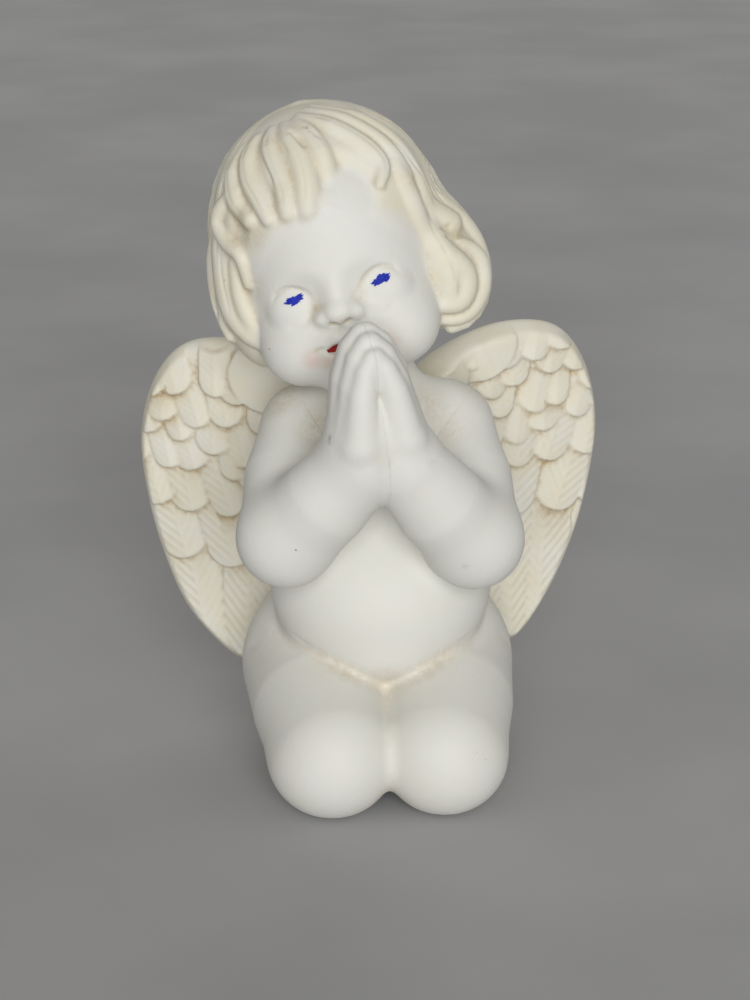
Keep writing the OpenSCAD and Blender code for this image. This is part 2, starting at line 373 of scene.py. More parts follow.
@dataclass(frozen=True)
class Turned:
    """Clay that is modelled about an origin, then turned and set in place.

    Attributes:
        clay: The clay.
        place: Where its origin goes.
        turn: Angles that turn it, in degrees.
        blend: Reach of the fillet with what it is pressed on.
    """
    clay: Ball | Limb | Wall | Clay
    place: Point
    turn: Point
    blend: float = 3.0

    def distance(self, points: np.ndarray) -> np.ndarray:
        """Gives the distance of each point to the turned clay's surface, less than 0 inside."""
        return self.clay.distance((points - np.array(self.place)) @ turn_matrix(self.turn))

    def added(self) -> list[bpy.types.Object]:
        """Adds the clay's lumps as primitives in their turned places, and gives the new objects."""
        pieces = self.clay.added()
        turn = Matrix(turn_matrix(self.turn).tolist()).to_4x4()
        place = Matrix.Translation([c * MM for c in self.place]) @ turn
        bpy.context.view_layer.update()
        for piece in pieces:
            piece.matrix_world = place @ piece.matrix_world
        return pieces


@dataclass(frozen=True)
class Beside:
    """Clay of a neighbouring casting that this one runs into smoothly, but isn't made of.

    Attributes:
        clay: The neighbour's clay.
        blend: Reach of the fillet with it.
    """
    clay: Clay | Turned
    blend: float = 2.0

    def distance(self, points: np.ndarray) -> np.ndarray:
        """Gives the distance of each point to the neighbour's surface."""
        return self.clay.distance(points)

    def added(self) -> list[bpy.types.Object]:
        """Adds nothing."""
        return []


Lump = Ball | Limb | Wall | Clay | Turned | Beside


def meeting(own: Field, other: Field, blend: float) -> Field:
    """Gives the field of a casting that runs smoothly into its neighbour and on under its surface.

    Args:
        own: The casting's own field.
        other: The neighbour's field.
        blend: Reach of the fillet between them.

    Returns:
        The field to settle the casting on.
    """
    def distance(points: np.ndarray) -> np.ndarray:
        """Gives the distance of each point to the casting's surface."""
        mine = own(points)
        share = np.maximum(blend - np.abs(mine - other(points)), 0) / blend
        return mine - share * share * blend / 4
    return distance


class Skin:
    """A closed mesh whose points can be pushed about, in millimetres.

    Attributes:
        nudge: How far off a field is read to find its slope.
        flattest: Least square of a slope that it trusts.
        stride: Furthest that a point moves at a time down a slope.
        creep: Furthest that a point moves at a time along its own normal.
    """
    nudge = 0.05
    flattest = 0.09
    stride = 1.5
    creep = 0.5

    def __init__(self, piece: bpy.types.Object) -> None:
        """Reads a piece's mesh.

        Args:
            piece: The piece, with its place in its mesh.
        """
        self.piece = piece
        self.mesh = piece.data
        self.points = np.empty(len(self.mesh.vertices) * 3)
        self.mesh.vertices.foreach_get("co", self.points)
        self.points = self.points.reshape(-1, 3) / MM
        pairs = np.empty(len(self.mesh.edges) * 2, dtype=np.int32)
        self.mesh.edges.foreach_get("vertices", pairs)
        self.pairs = pairs.reshape(-1, 2)
        self.degree = np.bincount(pairs, minlength=len(self.points)).astype(float)

    def flip(self) -> None:
        """Turns the skin's faces inside out."""
        self.write()
        select(self.piece)
        bpy.ops.object.mode_set(mode="EDIT")
        bpy.ops.mesh.select_all(action="SELECT")
        bpy.ops.mesh.flip_normals()
        bpy.ops.object.mode_set(mode="OBJECT")

    def write(self) -> None:
        """Puts the points back into the mesh."""
        self.mesh.vertices.foreach_set("co", (self.points * MM).ravel())
        self.mesh.update()

    def normals(self) -> np.ndarray:
        """Gives each point's outward direction."""
        self.write()
        out = np.empty(len(self.points) * 3, dtype=np.float32)
        self.mesh.vertex_normals.foreach_get("vector", out)
        return out.reshape(-1, 3).astype(float)

    def average(self, values: np.ndarray) -> np.ndarray:
        """Gives each point the average of its neighbours' values.

        Args:
            values: One number, or one row, for each point.

        Returns:
            The averages, in the same form.
        """
        columns = values.reshape(len(values), -1)
        a, b = self.pairs.T
        out = np.empty_like(columns)
        for k in range(columns.shape[1]):
            total = np.bincount(a, columns[b, k], len(columns))
            total += np.bincount(b, columns[a, k], len(columns))
            out[:, k] = total / self.degree
        return out.reshape(values.shape)

    def settle(self, distance: Field, rounds: int, even: float, steep: bool) -> None:
        """Moves the skin onto the zero of a distance field, keeping its squares even.

        Args:
            distance: The field.
            rounds: How often it moves.
            even: How strongly it evens out between moves, from 0 to 1, save for the last two.
            steep: True to move down the field's slope, False to move along the skin's own normals.
        """
        for step in range(rounds):
            if step < rounds - 2:
                self.soften(1, even)
            here = distance(self.points)
            if steep:
                off = [distance(self.points + aside) - here for aside in np.eye(3) * self.nudge]
                slope = np.stack(off, axis=1) / self.nudge
                size = np.maximum((slope * slope).sum(1), self.flattest)
                self.points -= slope * (np.clip(here, -self.stride, self.stride) / size)[:, None]
            else:
                self.points -= self.normals() * np.clip(here, -self.creep, self.creep)[:, None]
        self.write()

    def remeshed(self, voxel: float) -> Skin:
        """Covers the skin with fresh squares of this size."""
        self.write()
        remesh(self.piece, voxel)
        return Skin(self.piece)

    def push(self, amount: np.ndarray) -> None:
        """Moves each point outwards by its amount."""
        self.points += self.normals() * amount[:, None]

    def soften(self, rounds: int, amount: float = 0.5) -> None:
        """Smooths the skin."""
        for _ in range(rounds):
            self.points += (self.average(self.points) - self.points) * amount

    def hollowness(self, rounds: int) -> np.ndarray:
        """Measures how deep each point lies in a hollow, by smoothing a copy of the skin.

        Args:
            rounds: How often the copy is smoothed, which sets the size of hollow it finds.

        Returns:
            Millimetres, more than 0 in hollows and less than 0 on ridges.
        """
        smoothed = self.points.copy()
        for _ in range(rounds):
            smoothed += (self.average(smoothed) - smoothed) * 0.6
        return ((smoothed - self.points) * self.normals()).sum(1)

    def paint(self, name: str, values: np.ndarray) -> None:
        """Keeps one number for each point on the mesh, for the material to read.

        Args:
            name: The attribute's name.
            values: The numbers, from 0 to 1.
        """
        layer = self.mesh.attributes.new(name, "FLOAT", "POINT")
        layer.data.foreach_set("value", np.clip(values, 0, 1).astype(np.float32))


def ramp(values: np.ndarray, low: float, high: float) -> np.ndarray:
    """Runs smoothly from 0 at low to 1 at high.

    Args:
        values: What is compared.
        low: Where the result leaves 0.
        high: Where the result reaches 1.

    Returns:
        Numbers from 0 to 1.
    """
    t = np.clip((values - low) / (high - low), 0, 1)
    return t * t * (3 - 2 * t)


def path_distance(points: np.ndarray, path: np.ndarray,
                  reach: float) -> tuple[np.ndarray, np.ndarray, np.ndarray]:
    """Finds how points lie beside a path.

    Args:
        points: The points, one row each.
        path: The path's points.
        reach: Points further away than this are left out.

    Returns:
        The indices of the points within reach, their distances, and how far along the path, from 0 to 1.
    """
    beside = (points > path.min(0) - reach) & (points < path.max(0) + reach)
    near = np.where(np.all(beside, axis=1))[0]
    close = points[near]
    best = np.full(len(close), np.inf)
    along = np.zeros(len(close))
    lengths = np.linalg.norm(np.diff(path, axis=0), axis=1)
    starts = np.concatenate([[0], np.cumsum(lengths)])
    for k, (a, b) in enumerate(zip(path, path[1:])):
        t = np.clip(((close - a) @ (b - a)) / max(lengths[k] ** 2, 1e-12), 0, 1)
        gap = np.linalg.norm(close - (a + t[:, None] * (b - a)), axis=1)
        closer = gap < best
        best[closer] = gap[closer]
        along[closer] = (starts[k] + t[closer] * lengths[k]) / starts[-1]
    keep = best < reach
    return near[keep], best[keep], along[keep]


def as_path(rows: np.ndarray) -> tuple[Point, ...]:
    """Gives rows of numbers as a path's points."""
    return tuple(tuple(row) for row in rows)


@dataclass(frozen=True)
class Stroke:
    """One stroke of a modelling tool along a path.

    Attributes:
        path: Points of the stroke, which passes smoothly through them.
        width: Its half width.
        depth: How deep it cuts, or less than 0 for a ridge.
        fade: Share of its length over which each end runs out.
    """
    path: tuple[Point, ...]
    width: float
    depth: float
    fade: float = 0.25

    def mirrored(self) -> Stroke:
        """Gives the same stroke on the figure's other side."""
        return replace(self, path=tuple((-x, y, z) for x, y, z in self.path))

    def draw(self, skin: Skin) -> None:
        """Makes the stroke on a skin."""
        near, gap, along = path_distance(skin.points, smooth_path(self.path, 8), self.width * 2.6)
        ends = np.minimum(along, 1 - along) / max(self.fade, 1e-6)
        amount = np.zeros(len(skin.points))
        amount[near] = -self.depth * np.exp(-(gap / self.width) ** 2 * 1.6) * ramp(ends, 0, 1)
        skin.push(amount)


# ------------------------------------------------------------ finishes ----

class Nodes:
    """A short way to build a material's nodes."""

    def __init__(self, name: str) -> None:
        """Starts an empty material with a Principled shader.

        Args:
            name: The material's name.
        """
        self.material = bpy.data.materials.new(name)
        self.material.use_nodes = True
        self.tree = self.material.node_tree
        self.tree.nodes.clear()
        self.output = self.tree.nodes.new("ShaderNodeOutputMaterial")
        self.shader = self.tree.nodes.new("ShaderNodeBsdfPrincipled")
        self.link(self.shader.outputs["BSDF"], self.output.inputs["Surface"])
        self.place = self.tree.nodes.new("ShaderNodeTexCoord").outputs["Object"]

    def link(self, source: bpy.types.NodeSocket, target: bpy.types.NodeSocket) -> None:
        """Links two sockets."""
        self.tree.links.new(source, target)

    def attribute(self, name: str) -> bpy.types.NodeSocket:
        """Reads one number that a skin keeps for each point."""
        node = self.tree.nodes.new("ShaderNodeAttribute")
        node.attribute_name = name
        return node.outputs["Fac"]

    def noise(self, scale: float, detail: float = 3.0, roughness: float = 0.5) -> bpy.types.NodeSocket:
        """Makes cloudy noise.

        Args:
            scale: Clouds per metre.
            detail: Octaves.
            roughness: Share of each finer octave.

        Returns:
            The noise, about 0.5 on average.
        """
        node = self.tree.nodes.new("ShaderNodeTexNoise")
        node.inputs["Scale"].default_value = scale
        node.inputs["Detail"].default_value = detail
        node.inputs["Roughness"].default_value = roughness
        self.link(self.place, node.inputs["Vector"])
        return node.outputs["Fac"]

    def specks(self, scale: float) -> bpy.types.NodeSocket:
        """Makes the distance to scattered points, in cells of 1 / scale metres."""
        node = self.tree.nodes.new("ShaderNodeTexVoronoi")
        node.inputs["Scale"].default_value = scale
        self.link(self.place, node.inputs["Vector"])
        return node.outputs["Distance"]

    def math(self, kind: str, a: object, b: object = 0.0) -> bpy.types.NodeSocket:
        """Works on one or two numbers, each a socket or a constant."""
        node = self.tree.nodes.new("ShaderNodeMath")
        node.operation = kind
        for socket, value in zip(node.inputs, (a, b)):
            if isinstance(value, bpy.types.NodeSocket):
                self.link(value, socket)
            else:
                socket.default_value = value
        return node.outputs[0]

    def step(self, value: bpy.types.NodeSocket, low: float, high: float) -> bpy.types.NodeSocket:
        """Runs smoothly from 0 at low to 1 at high, or down if high is the smaller."""
        node = self.tree.nodes.new("ShaderNodeMapRange")
        node.interpolation_type = "SMOOTHSTEP"
        self.link(value, node.inputs["Value"])
        first, last = (low, high) if low < high else (high, low)
        node.inputs["From Min"].default_value = first
        node.inputs["From Max"].default_value = last
        node.inputs["To Min"].default_value = 0.0 if low < high else 1.0
        node.inputs["To Max"].default_value = 1.0 if low < high else 0.0
        return node.outputs["Result"]

    def mix(self, share: object, a: object, b: object) -> bpy.types.NodeSocket:
        """Mixes two colours, each a socket or three numbers."""
        node = self.tree.nodes.new("ShaderNodeMix")
        node.data_type = "RGBA"
        sockets = (node.inputs[0], node.inputs[6], node.inputs[7])
        for socket, value in zip(sockets, (share, a, b)):
            if isinstance(value, bpy.types.NodeSocket):
                self.link(value, socket)
            elif isinstance(value, tuple):
                socket.default_value = (*value, 1.0)
            else:
                socket.default_value = value
        return node.outputs[2]

    def bump(self, height: bpy.types.NodeSocket, depth: float, strength: float = 1.0,
             below: Optional[bpy.types.NodeSocket] = None) -> bpy.types.NodeSocket:
        """Turns a height into a bumped normal.

        Args:
            height: The height, from 0 to 1.
            depth: What 1 stands for, in metres.
            strength: How strongly the light follows it.
            below: A bumped normal that this one lies on.

        Returns:
            The normal.
        """
        node = self.tree.nodes.new("ShaderNodeBump")
        node.inputs["Strength"].default_value = strength
        node.inputs["Distance"].default_value = depth
        self.link(height, node.inputs["Height"])
        if below is not None:
            self.link(below, node.inputs["Normal"])
        return node.outputs["Normal"]


@dataclass(frozen=True)
class ResinFinish:
    """Matte off-white cast resin with an ochre wash wiped into its hollows.

    Attributes:
        pale: Colour of the bare, cool white resin.
        cream: Colour of the warmer parts, such as hair and wings.
        wash: Colour of the wash where it lies thick, and of the painted shade laid in with it.
        blush: Colour of the blush on the face.
        pinhole: Colour in the pinholes that air bubbles left.
        smudge: Colour of a smudge.
        roughness: How matte it is.
    """
    pale: Point = (0.80, 0.80, 0.765)
    cream: Point = (0.79, 0.75, 0.61)
    wash: Point = (0.47, 0.36, 0.205)
    blush: Point = (0.80, 0.52, 0.47)
    pinhole: Point = (0.16, 0.14, 0.11)
    smudge: Point = (0.30, 0.31, 0.34)
    roughness: float = 0.55

    def material(self) -> bpy.types.Material:
        """Builds the material, which reads the attributes wash, cream, blush and smudge."""
        n = Nodes("cast_resin")
        clouds = n.noise(90.0, 4.0, 0.6)
        fine = n.noise(900.0, 4.0, 0.6)
        grain = n.noise(4200.0, 2.0, 0.5)
        warm = n.math("MULTIPLY", n.attribute("cream"), n.step(clouds, 0.2, 0.75))
        warm = n.math("ADD", warm, n.math("MULTIPLY", n.attribute("cream"), 0.45))
        colour = n.mix(n.math("MINIMUM", warm, 1.0), self.pale, self.cream)
        patchy = n.math("ADD", n.math("MULTIPLY", n.step(clouds, 0.25, 0.7), 0.7),
                        n.math("MULTIPLY", n.step(fine, 0.3, 0.7), 0.45))
        # The wash attribute holds the wash and painted shade: spots in creases and between parts, and shadows
        # under the feathers' tips.
        shade_and_wash = n.math("MULTIPLY", n.attribute("wash"), patchy)
        colour = n.mix(n.math("MINIMUM", shade_and_wash, 1.0), colour, self.wash)
        colour = n.mix(n.attribute("blush"), colour, self.blush)
        pocked = n.step(n.noise(28.0, 1.0), 0.56, 0.62)
        holes = n.math("MULTIPLY", n.step(n.specks(230.0), 0.058, 0.026), pocked)
        colour = n.mix(n.math("MULTIPLY", holes, 0.75), colour, self.pinhole)
        smudged = n.math("MULTIPLY", n.attribute("smudge"), n.step(fine, 0.35, 0.65))
        colour = n.mix(smudged, colour, self.smudge)
        n.link(colour, n.shader.inputs["Base Color"])
        rough = n.math("ADD", n.math("MULTIPLY", fine, 0.18), self.roughness - 0.06)
        n.link(rough, n.shader.inputs["Roughness"])
        n.shader.inputs["Specular IOR Level"].default_value = 0.35
        n.shader.inputs["Subsurface Weight"].default_value = 0.12
        n.shader.inputs["Subsurface Radius"].default_value = (1.0, 0.8, 0.6)
        n.shader.inputs["Subsurface Scale"].default_value = 0.002
        skin = n.bump(fine, 0.00012, 0.5)
        skin = n.bump(grain, 0.00004, 0.5, skin)
        pits = n.bump(n.math("SUBTRACT", 1.0, holes), 0.0003, 0.8, skin)
        n.link(pits, n.shader.inputs["Normal"])
        return n.material


@dataclass(frozen=True)
class PaintFinish:
    """Hand-dabbed paint.

    Attributes:
        name: The material's name.
        colour: Colour of a full coat.
        thin: Colour where the coat is thin.
        roughness: How matte it is.
    """
    name: str
    colour: Point
    thin: Point
    roughness: float = 0.55

    def material(self) -> bpy.types.Material:
        """Builds the material."""
        n = Nodes(self.name)
        n.shader.inputs["Specular IOR Level"].default_value = 0.2
        coat = n.step(n.noise(1500.0, 3.0), 0.35, 0.75)
        n.link(n.mix(coat, self.colour, self.thin), n.shader.inputs["Base Color"])
        n.shader.inputs["Roughness"].default_value = self.roughness
        n.link(n.bump(n.noise(2500.0, 3.0), 0.00005, 0.6), n.shader.inputs["Normal"])
        return n.material


@dataclass(frozen=True)
class SteelFinish:
    """Drawn steel of the pins and the dowel.

    Attributes:
        colour: Colour of the steel.
        dull: Colour where it has dulled.
        roughness: How dull it is.
    """
    colour: Point = (0.60, 0.60, 0.58)
    dull: Point = (0.42, 0.41, 0.39)
    roughness: float = 0.32

    def material(self) -> bpy.types.Material:
        """Builds the material."""
        n = Nodes("pin_steel")
        n.shader.inputs["Metallic"].default_value = 1.0
        worn = n.noise(700.0, 4.0, 0.7)
        n.link(n.mix(n.step(worn, 0.4, 0.8), self.colour, self.dull), n.shader.inputs["Base Color"])
        rough = n.math("ADD", n.math("MULTIPLY", worn, 0.2), self.roughness - 0.1)
        n.link(rough, n.shader.inputs["Roughness"])
        n.link(n.bump(n.noise(5000.0, 2.0), 0.00002, 0.5), n.shader.inputs["Normal"])
        return n.material


@dataclass(frozen=True)
class RubberFinish:
    """Dark rubber of the plug.

    Attributes:
        colour: Colour of the rubber.
        dusty: Colour of the dust on it.
        roughness: How matte it is.
    """
    colour: Point = (0.045, 0.045, 0.05)
    dusty: Point = (0.14, 0.13, 0.12)
    roughness: float = 0.75

    def material(self) -> bpy.types.Material:
        """Builds the material."""
        n = Nodes("plug_rubber")
        dust = n.step(n.noise(600.0, 5.0, 0.7), 0.5, 0.8)
        colour = n.mix(n.math("MULTIPLY", dust, 0.4), self.colour, self.dusty)
        n.link(colour, n.shader.inputs["Base Color"])
        rough = n.math("SUBTRACT", self.roughness + 0.1, n.math("MULTIPLY", dust, 0.1))
        n.link(rough, n.shader.inputs["Roughness"])
        n.link(n.bump(n.noise(3500.0, 3.0), 0.00008, 0.6), n.shader.inputs["Normal"])
        return n.material


# ------------------------------------------------------------ castings ----

class Slot(Enum):
    """Names of the material slots."""
    RESIN = "cast_resin"
    STEEL = "pin_steel"
    RUBBER = "plug_rubber"
    EYE = "eye_paint"
    MOUTH = "mouth_paint"


@dataclass(frozen=True)
class Tone:
    """How a casting takes its colour.

    Attributes:
        cream: How warm its resin looks, from 0 to 1.
        wash: How much ochre wash its hollows hold, where 1 is plenty.
    """
    cream: float
    wash: float


@dataclass(frozen=True)
class Spot:
    """A soft round spot of colour.

    Attributes:
        centre: Its middle.
        radius: Its reach.
        full: How strong it is in the middle.
    """
    centre: Point
    radius: float
    full: float

    def strength(self, points: np.ndarray) -> np.ndarray:
        """Gives the colour's strength at each point."""
        gap = np.linalg.norm(points - np.array(self.centre), axis=1)
        return self.full * ramp(self.radius - gap, 0, self.radius * 0.9)


def spotted(skin: Skin, spots: Sequence[Spot]) -> np.ndarray:
    """Gives the strongest of some spots at each of a skin's points."""
    return np.max([spot.strength(skin.points) for spot in spots], axis=0)


def wash_hollows(skin: Skin, tone: Tone, extra: Optional[np.ndarray] = None,
                 creamy: Optional[np.ndarray] = None, smudge: Optional[np.ndarray] = None) -> None:
    """Keeps a casting's cream and wash on its mesh.

    Args:
        skin: The casting's skin.
        tone: How it takes its colour.
        extra: More for each point, laid in with the wash: painted shade and wash that has run together.
        creamy: Where the casting is at its warmest, from 0 to 1, if not all over.
        smudge: Where it is smudged.
    """
    fine = ramp(skin.hollowness(8), 0.02, 0.20)
    broad = ramp(skin.hollowness(45), 0.10, 0.9)
    wash = (0.5 * fine + 0.55 * broad) * tone.wash
    for _ in range(2):
        wash = 0.5 * wash + 0.5 * skin.average(wash)
    if extra is not None:
        wash = wash + extra
    skin.paint("wash", wash)
    skin.paint("smudge", np.zeros(len(skin.points)) if smudge is None else smudge)
    creamy = np.ones(len(skin.points)) if creamy is None else creamy
    skin.paint("cream", tone.cream * (0.2 + 0.8 * creamy))


def side_name(side: int) -> str:
    """Names the figure's own side: left for 1 and right for -1."""
    return "left" if side > 0 else "right"


def finished(skin: Skin, node: str, material: bpy.types.Material) -> None:
    """Smooths a piece's shading, dresses it and gives it to the frame.

    Args:
        skin: The piece's skin.
        node: The CAD node that it stands for.
        material: What it is dressed in.
    """
    skin.write()
    piece = skin.piece
    piece.data.materials.clear()
    piece.data.materials.append(material)
    piece.data.shade_smooth()
    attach(piece, "root")
    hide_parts(node)
    log.info("%s: %d faces", piece.name, len(piece.data.polygons))


SHOULDER_FILLET = 6.0  # Reach of the fillet between the body and an arm.

# Painted shade over the chest and shoulders where the arms meet them, with wash run together there, across
# the castings that meet there.
CHEST_SHADE = (
    Spot((-22, 1, 89), 9.0, 0.55), Spot((-15, -7.4, 84.4), 8.0, 0.65), Spot((16, -7.2, 84), 7.5, 0.5),
    Spot((21, 2, 89), 8.0, 0.3), Spot((-9, -8, 92), 8.0, 0.5), Spot((11, -8, 92), 9.0, 0.45))


@dataclass
class Torso:
    """The body casting: neck, chest, belly, seat, legs and feet.

    Attributes:
        voxel: Size of the skin's squares.
        knee: Centre of the left knee.
        knee_r: Radius of a knee.
        hip: Centre of the left hip.
        hip_r: Radius of a hip.
        toe_y: How far back the toes reach.
        cleft: Reach of the fillet between the thighs.
        tone: How it takes its colour.
    """
    voxel: float = 0.62
    knee: Point = (12.6, -27.4, 13.9)
    knee_r: float = 14.3
    hip: Point = (15.4, 8.0, 21.5)
    hip_r: float = 17.0
    toe_y: float = 41.0
    cleft: float = 3.4
    tone: Tone = Tone(0.2, 0.36)

    def leg(self) -> Clay:
        """Models the left half of the seat with the thigh, calf and foot."""
        leg = Clay()
        leg.press(Ball((0, 9, 30), (27, 21, 19)))
        leg.press(Ball((12, 15, 24), (15.5, 15.5, 16), blend=6))
        leg.press(Limb((self.hip, (15, -10, 18.5), self.knee), (self.hip_r, 15.6, self.knee_r), blend=7))
        leg.press(Ball((13.5, -25, 11.5), (13.6, 15, 11.5), blend=3))
        leg.press(Limb(((13.5, -18, 8.6), (13, 8, 8.4), (11.5, 22, 7)), (8.6, 8.6, 5.8), blend=2.5))
        leg.press(Limb(((11.3, 23.5, 8.2), (10.6, 35, 5.4)), (6.6, 4.9), blend=2))
        for k in range(5):
            reach = self.toe_y - 2.6 - 0.5 * k
            toe = (1.9 - 0.17 * k, 2.6, 2.4 - 0.2 * k)
            leg.press(Ball((6.2 + 2.35 * k, reach, 3.4 - 0.12 * k), toe, blend=0.8))
        return leg

    def clay(self) -> Clay:
        """Models the whole body."""
        left = self.leg()
        legs = Clay(blend=1.5)
        legs.press(left)
        right = left.mirrored()
        right.blend = self.cleft
        legs.press(right)
        trunk = Clay(blend=2.0)
        trunk.press(Ball((0, 2.5, 73), (19, 14.5, 21)))
        trunk.press(Ball((0, -1.5, 46), (25.6, 21.2, 21.5), blend=14))
        trunk.press(Ball((0, -4.5, 43), (20, 18.2, 15), blend=8))
        trunk.press(Ball((0, -13.0, 34.5), (9, 8.5, 6.5), blend=5))
        trunk.press_both(Ball((12, 3, 83.5), (12, 10, 9.5), blend=7))
        trunk.press_both(Ball((8.5, 11, 74), (9.5, 7.5, 14), blend=6))
        trunk.press(Limb(((0, 3.5, 84), (-1.5, 2.5, 99)), (10, 9), blend=6))
        legs.press(Ball((0, 3, 4), (14.5, 14.5, 9), blend=5))
        body = Clay()
        body.press(legs, trunk)
        body.dent(Wall((0, 0, 0), (0, 0, 1), blend=1.6))
        body.dent(Ball((0, 3, -0.75), (9.25, 9.25, 9.25), blend=0.3))
        return body

    def strokes(self) -> list[Stroke]:
        """Gives the creases and folds."""
        one_side = [
            Stroke(((1, -22, 28.5), (10, -21.0, 32), (18, -16, 35.5), (25, -8, 38.5)), 0.9, 0.8, 0.35),
            Stroke(((27, -2, 33), (30.5, 4, 27), (31, 10, 22)), 1.6, 0.25, 0.5),
            Stroke(((3, 29, 20), (10, 30, 15), (18, 27, 13), (25, 19, 12)), 1.0, 0.6, 0.3),
            Stroke(((6.5, 37.5, 8), (10, 33, 10), (13.5, 37, 7)), 0.8, 0.2, 0.4)]
        spine = Stroke(((0, 17, 88), (0, 19.5, 74), (0, 20, 60), (0, 24, 46)), 2.4, 0.5, 0.45)
        return [spine] + one_side + [stroke.mirrored() for stroke in one_side]

    def shade_and_wash_spots(self) -> list[Spot]:
        """Gives painted shade, with wash run together in it: on the chest where the arms meet it, along the
        crease over the thighs and between the knees.
        """
        # Painted shade along the crease between the belly and the thighs.
        crease_shade = [
            (3, -22, 29.2, 0.58), (6, -21.8, 30.4, 0.52), (9, -21.2, 31.6, 0.48), (12, -19.9, 32.9, 0.42),
            (15, -18.3, 34.2, 0.34), (18, -16, 35.5, 0.25)]
        # Painted shade in the crease's V, over the thighs, between the knees and near the floor.
        return [
            *CHEST_SHADE, Spot((0, -20, 29.5), 7.0, 0.34), Spot((0, -22, 28), 4.2, 0.60),
            Spot((0, -31, 14), 4.0, 0.16), Spot((0, -34, 2), 9.0, 0.15), Spot((-13, -17, 32), 8.0, 0.14),
            Spot((12, -17, 32.5), 8.0, 0.14), Spot((-27, -2, 32), 9.0, 0.16),
            *(Spot((side * x, y, z), 3.6, full) for side in (-1, 1) for x, y, z, full in crease_shade)]

    def build(self, arms: Clay, material: bpy.types.Material) -> None:
        """Models, carves and dresses the casting.

        Args:
            arms: Both arms, which the shoulders run into.
            material: The cast resin.
        """
        clay = self.clay()
        surface = meeting(clay.distance, arms.distance, SHOULDER_FILLET)
        skin = clay.cast("body_casting", self.voxel, surface)
        for stroke in self.strokes():
            stroke.draw(skin)
        skin.points[:, 2] = np.maximum(skin.points[:, 2], 0.0)
        # The spots lay painted shade in with the wash.
        wash_hollows(skin, self.tone, spotted(skin, self.shade_and_wash_spots()))
        finished(skin, "body", material)


